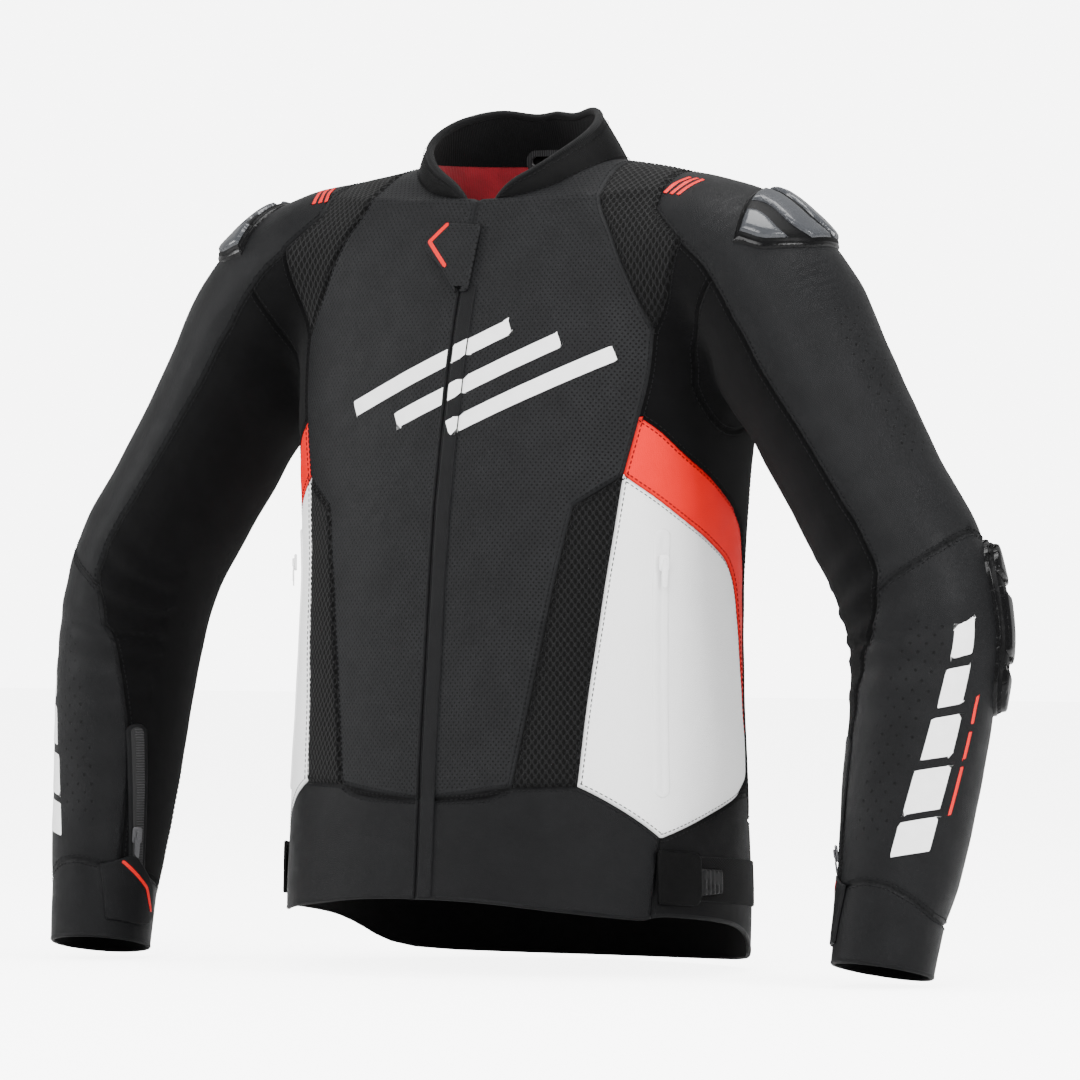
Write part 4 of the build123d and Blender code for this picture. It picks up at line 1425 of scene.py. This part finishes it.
def add_sliders(side):
    """The hard sliders of one shoulder and one elbow."""
    bands = slices(shoulder_measure, SHOULDER_CUTS)
    add_slider(f"shoulder_slider_{side}", shoulder_outline_field(side), bands, f"upper_arm_{side}",
               SHOULDER_HEIGHTS, "slider_plastic")
    bands = slices(elbow_measure, ELBOW_CUTS)
    add_slider(f"elbow_slider_{side}", elbow_outline_field(side), bands, f"forearm_{side}",
               ELBOW_HEIGHTS, "slider_black")


# ---- collar ----------------------------------------------------------------------------------------------
COLLAR_TOP_TURN = [6, 8.5, 13.5, 20, 27, 53, 87, 110, 140, 165, 180]
COLLAR_TOP_Z = [-46, -36, -26, -18.5, -13, 6.5, 26, 36, 42, 39, 41]
COLLAR_THICKNESS = 6.0
COLLAR_LINING_LOW = -2.0
COLLAR_STITCHES = (0.12, 0.86)      # shares of the way up
FACING_LOW = -88.0
FACING_FROM_TURN = 45               # degrees from the front


def cone_point(turn, height, inset=0.0):
    """A point on the collar cone, at an angle in degrees from the front towards the wearer's left."""
    heights = [row[0] for row in CONE]
    a, b, c = (np.interp(height, heights, [row[k] for row in CONE]) for k in (1, 2, 3))
    angle = np.radians(turn)
    return np.stack([(a - inset) * np.sin(angle), c - (b - inset) * np.cos(angle), height + 0 * angle], -1)


def collar_base(turn):
    """The height at which the cone comes out of the shoulders."""
    low, high = np.full_like(turn, -85.0), np.full_like(turn, 12.0)
    for _ in range(18):
        middle = (low + high) / 2
        buried = both_sides(cone_point(turn, middle)) < 0
        low, high = np.where(buried, middle, low), np.where(buried, high, middle)
    return low


def grid_triangles(rows, columns):
    """Two triangles for each cell of a grid of points."""
    at = np.arange(rows * columns).reshape(rows, columns)
    a, b, c, d = (at[:-1, :-1].ravel(), at[:-1, 1:].ravel(), at[1:, 1:].ravel(), at[1:, :-1].ravel())
    return np.concatenate([np.stack([a, b, c], 1), np.stack([a, c, d], 1)])


def grid_flat(points):
    """Running lengths along both ways of a grid of points, in metres, for its triangles' corners."""
    along = np.cumsum(np.linalg.norm(np.diff(points, axis=0, prepend=points[:1]), axis=2), 0)
    across = np.cumsum(np.linalg.norm(np.diff(points, axis=1, prepend=points[:, :1]), axis=2), 1)
    flat = np.stack([across, along], -1).reshape(-1, 2) * MM
    return flat[grid_triangles(*points.shape[:2]).ravel()]


def add_grid(name, points, finish, flip=False, edge_marks=None):
    """A surface from a grid of points; edge_marks holds the distance of each from a seam."""
    rows, columns = points.shape[:2]
    triangles, flat = grid_triangles(rows, columns), grid_flat(points)
    if flip:
        triangles = triangles[:, ::-1]
        flat = flat.reshape(-1, 3, 2)[:, ::-1].reshape(-1, 2)
    vertices = points.reshape(-1, 3)
    seam = np.full(len(vertices), NO_SEAM_SHADE) if edge_marks is None else edge_marks.ravel()
    marks = {"seam_mm": seam, "holes": np.zeros(len(vertices))}
    normals = vertex_normals(vertices, triangles)
    return add_mesh(name, vertices, triangles, finish, normals, flat, marks=marks)


def tube(name, path, radius, finish, around=8, closed=False):
    """A soft round trim that follows a path."""
    path = np.asarray(path, float)
    if closed:
        path = np.vstack([path, path[:1]])
    tangent = unit(np.gradient(path, axis=0))
    if closed:
        tangent[0] = tangent[-1] = unit(path[1] - path[-2])
    across = np.cross(tangent, [0.3, 0.5, 0.8])
    for k in range(1, len(path)):
        across[k] = across[k - 1] - (across[k - 1] @ tangent[k]) * tangent[k]
    across = unit(across)
    up = np.cross(tangent, across)
    angles = np.linspace(0, math.tau, around + 1)
    ring = radius * (np.cos(angles)[:, None, None] * across + np.sin(angles)[:, None, None] * up)
    return add_grid(name, path + ring, finish)


def add_collar():
    """The stand-up collar: leather outside, knit inside, a soft roll on its edge and a facing below."""
    columns = 180
    turn = np.linspace(COLLAR_TOP_TURN[0], 180, columns)
    turn = np.concatenate([turn, 360 - turn[-2::-1]])
    folded = np.where(turn > 180, 360 - turn, turn)
    top = spline(COLLAR_TOP_TURN, COLLAR_TOP_Z, folded) - 1.5
    base = collar_base(turn) - 1.0
    rise = np.linspace(0, 1, 16)[:, None]
    height = base + (top - base) * rise
    waves = ripple(np.stack([turn * 1.6, 0 * turn, 0 * turn], 1), 60, 11)
    bulge = 1.2 * np.sin(rise * math.pi) + 0.5 * waves
    outer = cone_point(turn[None, :], height, -bulge)
    distance = np.minimum(rise, 1 - rise) * (top - base)
    leather_side = add_grid("collar_outside", outer, "collar_leather", edge_marks=distance + 1.0)
    declare_sheet(leather_side)
    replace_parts(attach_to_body(leather_side, "torso"), "collar")
    inner_low = np.minimum(np.maximum(base - 4, COLLAR_LINING_LOW), top - 6)
    inner_height = inner_low + (top - inner_low) * rise
    inner = cone_point(turn[None, :], inner_height, COLLAR_THICKNESS - 0.7 * bulge)
    knit = add_grid("collar_knit_band", inner, "collar_knit", flip=True)
    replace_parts(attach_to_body(knit, "torso"), "collar_lining")
    declare_sheet(knit)
    facing_height = FACING_LOW + (inner_low + 1 - FACING_LOW) * rise
    facing = cone_point(turn[None, :], facing_height, COLLAR_THICKNESS - 0.5)
    behind = both_sides(facing.reshape(-1, 3)).reshape(facing.shape[:2]) > 6
    runs = np.flatnonzero(behind.any(0) & (folded > FACING_FROM_TURN))
    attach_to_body(add_grid("neck_facing", facing[:, runs[0]:runs[-1] + 1], "lining", flip=True), "torso")
    half = COLLAR_THICKNESS / 2
    edge = cone_point(turn, top, half)
    ends = [cone_point(np.full(6, turn[k]), np.linspace(base[k], top[k], 7)[:-1], half) for k in (0, -1)]
    path = np.vstack([ends[0], edge, ends[1][::-1]])
    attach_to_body(tube("collar_roll", path, half + 0.5, "collar_knit", 12), "torso")
    stitches = []
    for share in COLLAR_STITCHES:
        line = cone_point(turn, base + (top - base) * share, -1.6)
        stitches.append(stitch_path(line, np.array([0, 0, 1.0])))
    add_stitches("collar_stitches", stitches, "torso", "")


# ---- stitching and edges ---------------------------------------------------------------------------------
STITCH_SPACING = 4.4
STITCH_LENGTH = 3.1
STITCH_RADIUS = 0.42
STITCH_OFFSET = 3.0
# a stitch's rings as (place along it, size), and its corners across and up
STITCH_RINGS = [(-0.5, 0.0), (-0.32, 1.0), (0.32, 1.0), (0.5, 0.0)]
STITCH_CORNERS = [(1, 0), (0, 1), (-1, 0), (0, -0.6)]


def stitch_path(line, up):
    """Places and directions of stitches along a line."""
    gaps = np.linalg.norm(np.diff(line, axis=0), axis=1)
    at = np.concatenate([[0], np.cumsum(gaps)])
    marks = np.arange(STITCH_SPACING / 2, at[-1], STITCH_SPACING)

    def on_line(lengths):
        return np.stack([np.interp(lengths, at, line[:, k]) for k in range(3)], 1)
    points = on_line(marks)
    along = unit(on_line(np.minimum(marks + 1, at[-1])) - on_line(np.maximum(marks - 1, 0)))
    return points, along, np.broadcast_to(up, points.shape)


def ring_walls(rings, corners):
    """Triangles between rings of corners that follow one another."""
    walls = []
    for ring in range(rings - 1):
        for k in range(corners):
            a, b = ring * corners + k, ring * corners + (k + 1) % corners
            walls += [(a, b, b + corners), (a, b + corners, a + corners)]
    return walls


def add_stitches(name, paths, how, side):
    """One object of short thread stitches."""
    points, along, up = (np.concatenate([path[k] for path in paths]) for k in range(3))
    if not len(points):
        return
    across = unit(np.cross(along, up))
    up = np.cross(across, along)
    vertices = np.stack([
        points + along * STITCH_LENGTH * place + (across * u + up * w) * STITCH_RADIUS * size
        for place, size in STITCH_RINGS for u, w in STITCH_CORNERS], 1)
    one = np.array(ring_walls(len(STITCH_RINGS), len(STITCH_CORNERS)))
    first = np.arange(len(points)) * vertices.shape[1]
    triangles = (one[None] + first[:, None, None]).reshape(-1, 3)
    vertices = vertices.reshape(-1, 3)
    flat = (vertices[:, [0, 2]] * MM)[triangles.ravel()]
    marks = {"seam_mm": np.full(len(vertices), NO_SEAM_SHADE)}
    attach(add_mesh(name, vertices, triangles, "thread", flat=flat, marks=marks), how, side)


def zone(p):
    """How a place on the shell moves, and on which side."""
    q = Place(left_side(p))
    arm = (q.beyond_armhole > -3) | (q.x > 194)
    how = np.where(arm, np.where(q.t < STRETCH_SPLIT_T, "shoulder", "elbow"), "torso")
    side = np.where(arm, np.where(p[:, 0] > 0, "left", "right"), "")
    return how, side


def add_seam_stitches():
    """Rows of stitches on both sides of each seam."""
    rows = {}
    edges = shell_seams
    for run in chains(edges):
        if len(run) < 4:
            continue
        line = smooth_v[run]
        line = np.vstack([line[:1], (line[:-2] + line[1:-1] + line[2:]) / 3, line[-1:]])
        points, along, _ = stitch_path(line, np.array([0, 0, 1.0]))
        if not len(points):
            continue
        n = form_normals(points)
        for turn in (1, -1):
            moved = on_form(points + np.cross(n, along) * STITCH_OFFSET * turn, both_sides)
            n_moved = form_normals(moved)
            lift = folds(moved) + PUFF * (1 - math.exp(-STITCH_OFFSET / PUFF_WIDTH)) + 0.15
            how, side = zone(moved)
            for key in set(zip(how, side)):
                mine = (how == key[0]) & (side == key[1])
                rows.setdefault(key, []).append(
                    ((moved + n_moved * lift[:, None])[mine], along[mine], n_moved[mine]))
    for (how, side), paths in sorted(rows.items()):
        add_stitches("_".join(word for word in ("seam_stitches", how, side) if word), paths, how, side)


def add_edges():
    """Rolled edges where the shell ends: the hem, the cuffs and the two sides of the front."""
    roll = LINING_DEPTH / 2
    for number, run in enumerate(chains(shell_rims)):
        if len(run) < 12:
            continue
        middle = smooth_v[run].mean(0)
        if middle[2] > -90:
            continue
        closed = run[0] == run[-1]
        ring = (shell_v - smooth_n * roll)[run[:-1] if closed else run]
        cuff = abs(middle[0]) > 300
        side = "left" if middle[0] > 0 else "right"
        finish = "black_leather" if cuff or middle[1] < -60 else "tail_leather"
        trim = tube(f"edge_{number}", ring, roll + 0.4, finish, 8, closed)
        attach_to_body(trim, f"forearm_{side}" if cuff else "torso")


# ---- linings ---------------------------------------------------------------------------------------------
LINING_DEPTH = 3.4
RED_LINING_LOW = -470.0


def add_linings():
    """The inside of the shell: red mesh in the body, black facing at the hem, black in the sleeves."""
    centre = smooth_v[shell_t].mean(1)
    how, side = zone(centre)
    inside = smooth_v + smooth_n * (0.6 * folds(smooth_v) - LINING_DEPTH)[:, None]
    torso, high = how == "torso", centre[:, 2] > RED_LINING_LOW
    groups = {
        "torso_lining": (torso & high, "lining", "torso", ""),
        "hem_facing": (torso & ~high, "sleeve_lining", "torso", ""),
    }
    for name in SIDES:
        for part, way in (("upper_sleeve", "shoulder"), ("forearm", "elbow")):
            groups[f"{part}_lining_{name}"] = ((how == way) & (side == name), "sleeve_lining", way, name)
    for name, (mine, finish, way, where) in groups.items():
        v, used, t = compact(inside, shell_t[mine][:, ::-1])
        lie = round_flat if way == "torso" else sleeve_flat
        marks = {"seam_mm": seam_distance[used] + 1.2}
        flat = lie(smooth_v[used], t)
        cloth = add_mesh(name + "_cloth", v, t, finish, vertex_normals(v, t), flat, marks=marks)
        piece = attach(cloth, way, where)
        declare_sheet(piece)
        if name == "torso_lining":
            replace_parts(piece, "torso_lining")


# ---- zips ------------------------------------------------------------------------------------------------
ZIP_DEPTH = 2.6
ZIP_LOW = -600
ZIP_STEP = 3.0
ZIP_HALF = 8
CUFF_ZIP_LINE = [(-61, -473), (-68, -590)]      # y, z on the sleeve's inner side
CUFF_ZIP_HALF = 4.5
# sliders: where each is, which way it faces and which way it runs
CUFF_ZIP_SLIDER = [(337.3, -68.8, -558.4), (-0.80, -0.58, -0.13), (0.04, 0.05, 1.0)]
POCKET_ZIP_SLIDER = [(176.5, -68.0, -330.0), (0.807, -0.590, 0.0), (-0.015, 0.03, 1.0)]
FRONT_ZIP_SLIDER = [(0.0, -82.4, -113.8), (0.0, -0.99, 0.139), (0.0, 0.139, 0.990)]


def set_flat(piece, places):
    """Another flat place in millimetres for each corner of each triangle."""
    piece.data.uv_layers["flat"].data.foreach_set("uv", (places * MM).astype(np.float32).ravel())


def add_front_zip():
    """The toothed chain in the gap between the two sides of the front."""
    heights = np.arange(ZIP_LOW, ZIP_GAP_TOP + 4, ZIP_STEP)
    front = spline(TRUNK_Z, FRONT_Y, heights) + ZIP_DEPTH
    across = np.linspace(-ZIP_HALF, ZIP_HALF, 9)
    points = np.stack(np.broadcast_arrays(across, front[:, None], heights[:, None]), -1)
    on = on_form(points.reshape(-1, 3), both_sides)
    n = form_normals(on)
    on = (on + n * (folds(on) + PUFF - ZIP_DEPTH)[:, None]).reshape(points.shape)
    chain = add_grid("front_zip_teeth", on, "zip_teeth")
    place = on.reshape(-1, 3)[grid_triangles(*on.shape[:2]).ravel()]
    set_flat(chain, place[:, [0, 2]])
    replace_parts(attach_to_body(chain, "torso"), "front_zip_chain")


def add_cuff_zip(side):
    """The wrist zip between two leather lips on the inside of the forearm."""
    lips = from_side(polyline_field(CUFF_ZIP_LINE, CUFF_ZIP_HALF + 3.0), side, INNER_CUFF_X)
    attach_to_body(plate(f"cuff_zip_lips_{side}", lips, "black_leather", 1.4, -0.3, 1.5, 1), f"forearm_{side}")
    gap = from_side(polyline_field(CUFF_ZIP_LINE, CUFF_ZIP_HALF), side, INNER_CUFF_X)
    strip = plate(f"cuff_zip_teeth_{side}", gap, "zip_teeth", 0.5, 1.0, 0.8, 1)
    vertices = np.array([v.co for v in strip.data.vertices]) / MM
    corners = np.empty(len(strip.data.loops), int)
    strip.data.loops.foreach_get("vertex_index", corners)
    (top_y, top_z), (low_y, low_z) = CUFF_ZIP_LINE
    across = vertices[:, 1] - np.interp(-vertices[:, 2], [-top_z, -low_z], [top_y, low_y])
    set_flat(strip, np.column_stack([across, vertices[:, 2]])[corners])
    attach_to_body(strip, f"forearm_{side}")


def prism(outline_points, thickness, bevel):
    """A flat plate with bevelled rims, from an outline round the origin."""
    shape = np.asarray(outline_points, float)
    inner = shape * (1 - bevel / np.abs(shape).max())
    rows = [(inner, 0.0), (shape, bevel), (shape, thickness - bevel), (inner, thickness)]
    vertices = np.concatenate([np.column_stack([r, np.full(len(r), z)]) for r, z in rows])
    count = len(shape)
    triangles = ring_walls(len(rows), count)
    last = 3 * count
    for k in range(1, count - 1):
        triangles += [(0, k + 1, k), (last, last + k, last + k + 1)]
    return vertices, np.array(triangles)


def rounded_box(length, width, corner, steps=4):
    """An outline with round corners."""
    points = []
    for cx, cy, first in ((1, 1, 0), (-1, 1, 90), (-1, -1, 180), (1, -1, 270)):
        for k in range(steps + 1):
            angle = math.radians(first + 90 * k / steps)
            points.append((cx * (length / 2 - corner) + corner * math.cos(angle),
                           cy * (width / 2 - corner) + corner * math.sin(angle)))
    return points


def add_zip_slider(node, at, out, along, finish="zip_metal"):
    """A slider body with a bridge and a tapered pull, for the CAD node and body of the same name."""
    out, along = unit(np.array(out, float)), unit(np.array(along, float))
    along = unit(along - (along @ out) * out)
    axes = np.stack([along, np.cross(out, along), out])
    pull = [(x, y * (1 + 0.012 * (x + 10))) for x, y in rounded_box(19.0, 4.2, 1.8)]
    parts = [
        (prism(rounded_box(13.5, 8.5, 2.2), 1.9, 0.5), (0, 0, 0.1)),
        (prism(rounded_box(7.0, 2.6, 1.1), 1.8, 0.5), (0, 0, 2.0)),
        (prism(pull, 1.0, 0.35), (-10, 0, 2.2)),
        (prism(rounded_box(9.0, 2.2, 0.9), 0.5, 0.15), (-11, 0, 3.1)),
    ]
    vertices, triangles = [], []
    for (v, t), place in parts:
        triangles.append(t + sum(len(x) for x in vertices))
        vertices.append(np.array(at) + (v + np.array(place)) @ axes)
    vertices, triangles = np.concatenate(vertices), np.concatenate(triangles)
    piece = add_mesh(f"{node}_pull", vertices, triangles, finish, smooth_shaded=False)
    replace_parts(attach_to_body(piece, node), node)


# ---- putting it together ---------------------------------------------------------------------------------
def finish_hidden_nodes():
    """Finishes for the CAD nodes that keep their shape, inside the jacket."""
    inside = {
        "back_protector": "node_foam", "waist_connection_zip": "node_zip", "hanger_loop": "node_webbing",
    }
    for side in SIDES:
        inside.update({f"shoulder_pad_{side}": "node_foam", f"elbow_pad_{side}": "node_foam"})
    for node, finish in inside.items():
        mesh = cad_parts[node].data
        mesh.materials.clear()
        mesh.materials.append(FINISHES[finish])


make_finishes()
add_floor()
add_world()
add_lights()
add_panels()
add_linings()
add_edges()
add_seam_stitches()
add_collar()
add_front_pieces()
add_front_zip()
for side in SIDES:
    add_side_pieces(side)
    add_sliders(side)
    add_prints(side)
    add_cuff_zip(side)
    add_zip_slider(f"cuff_zip_slider_{side}", *mirrored(CUFF_ZIP_SLIDER, side))
    add_zip_slider(f"pocket_zip_slider_{side}", *mirrored(POCKET_ZIP_SLIDER, side), "white_print")
add_zip_slider("front_zip_slider", *FRONT_ZIP_SLIDER)
finish_hidden_nodes()
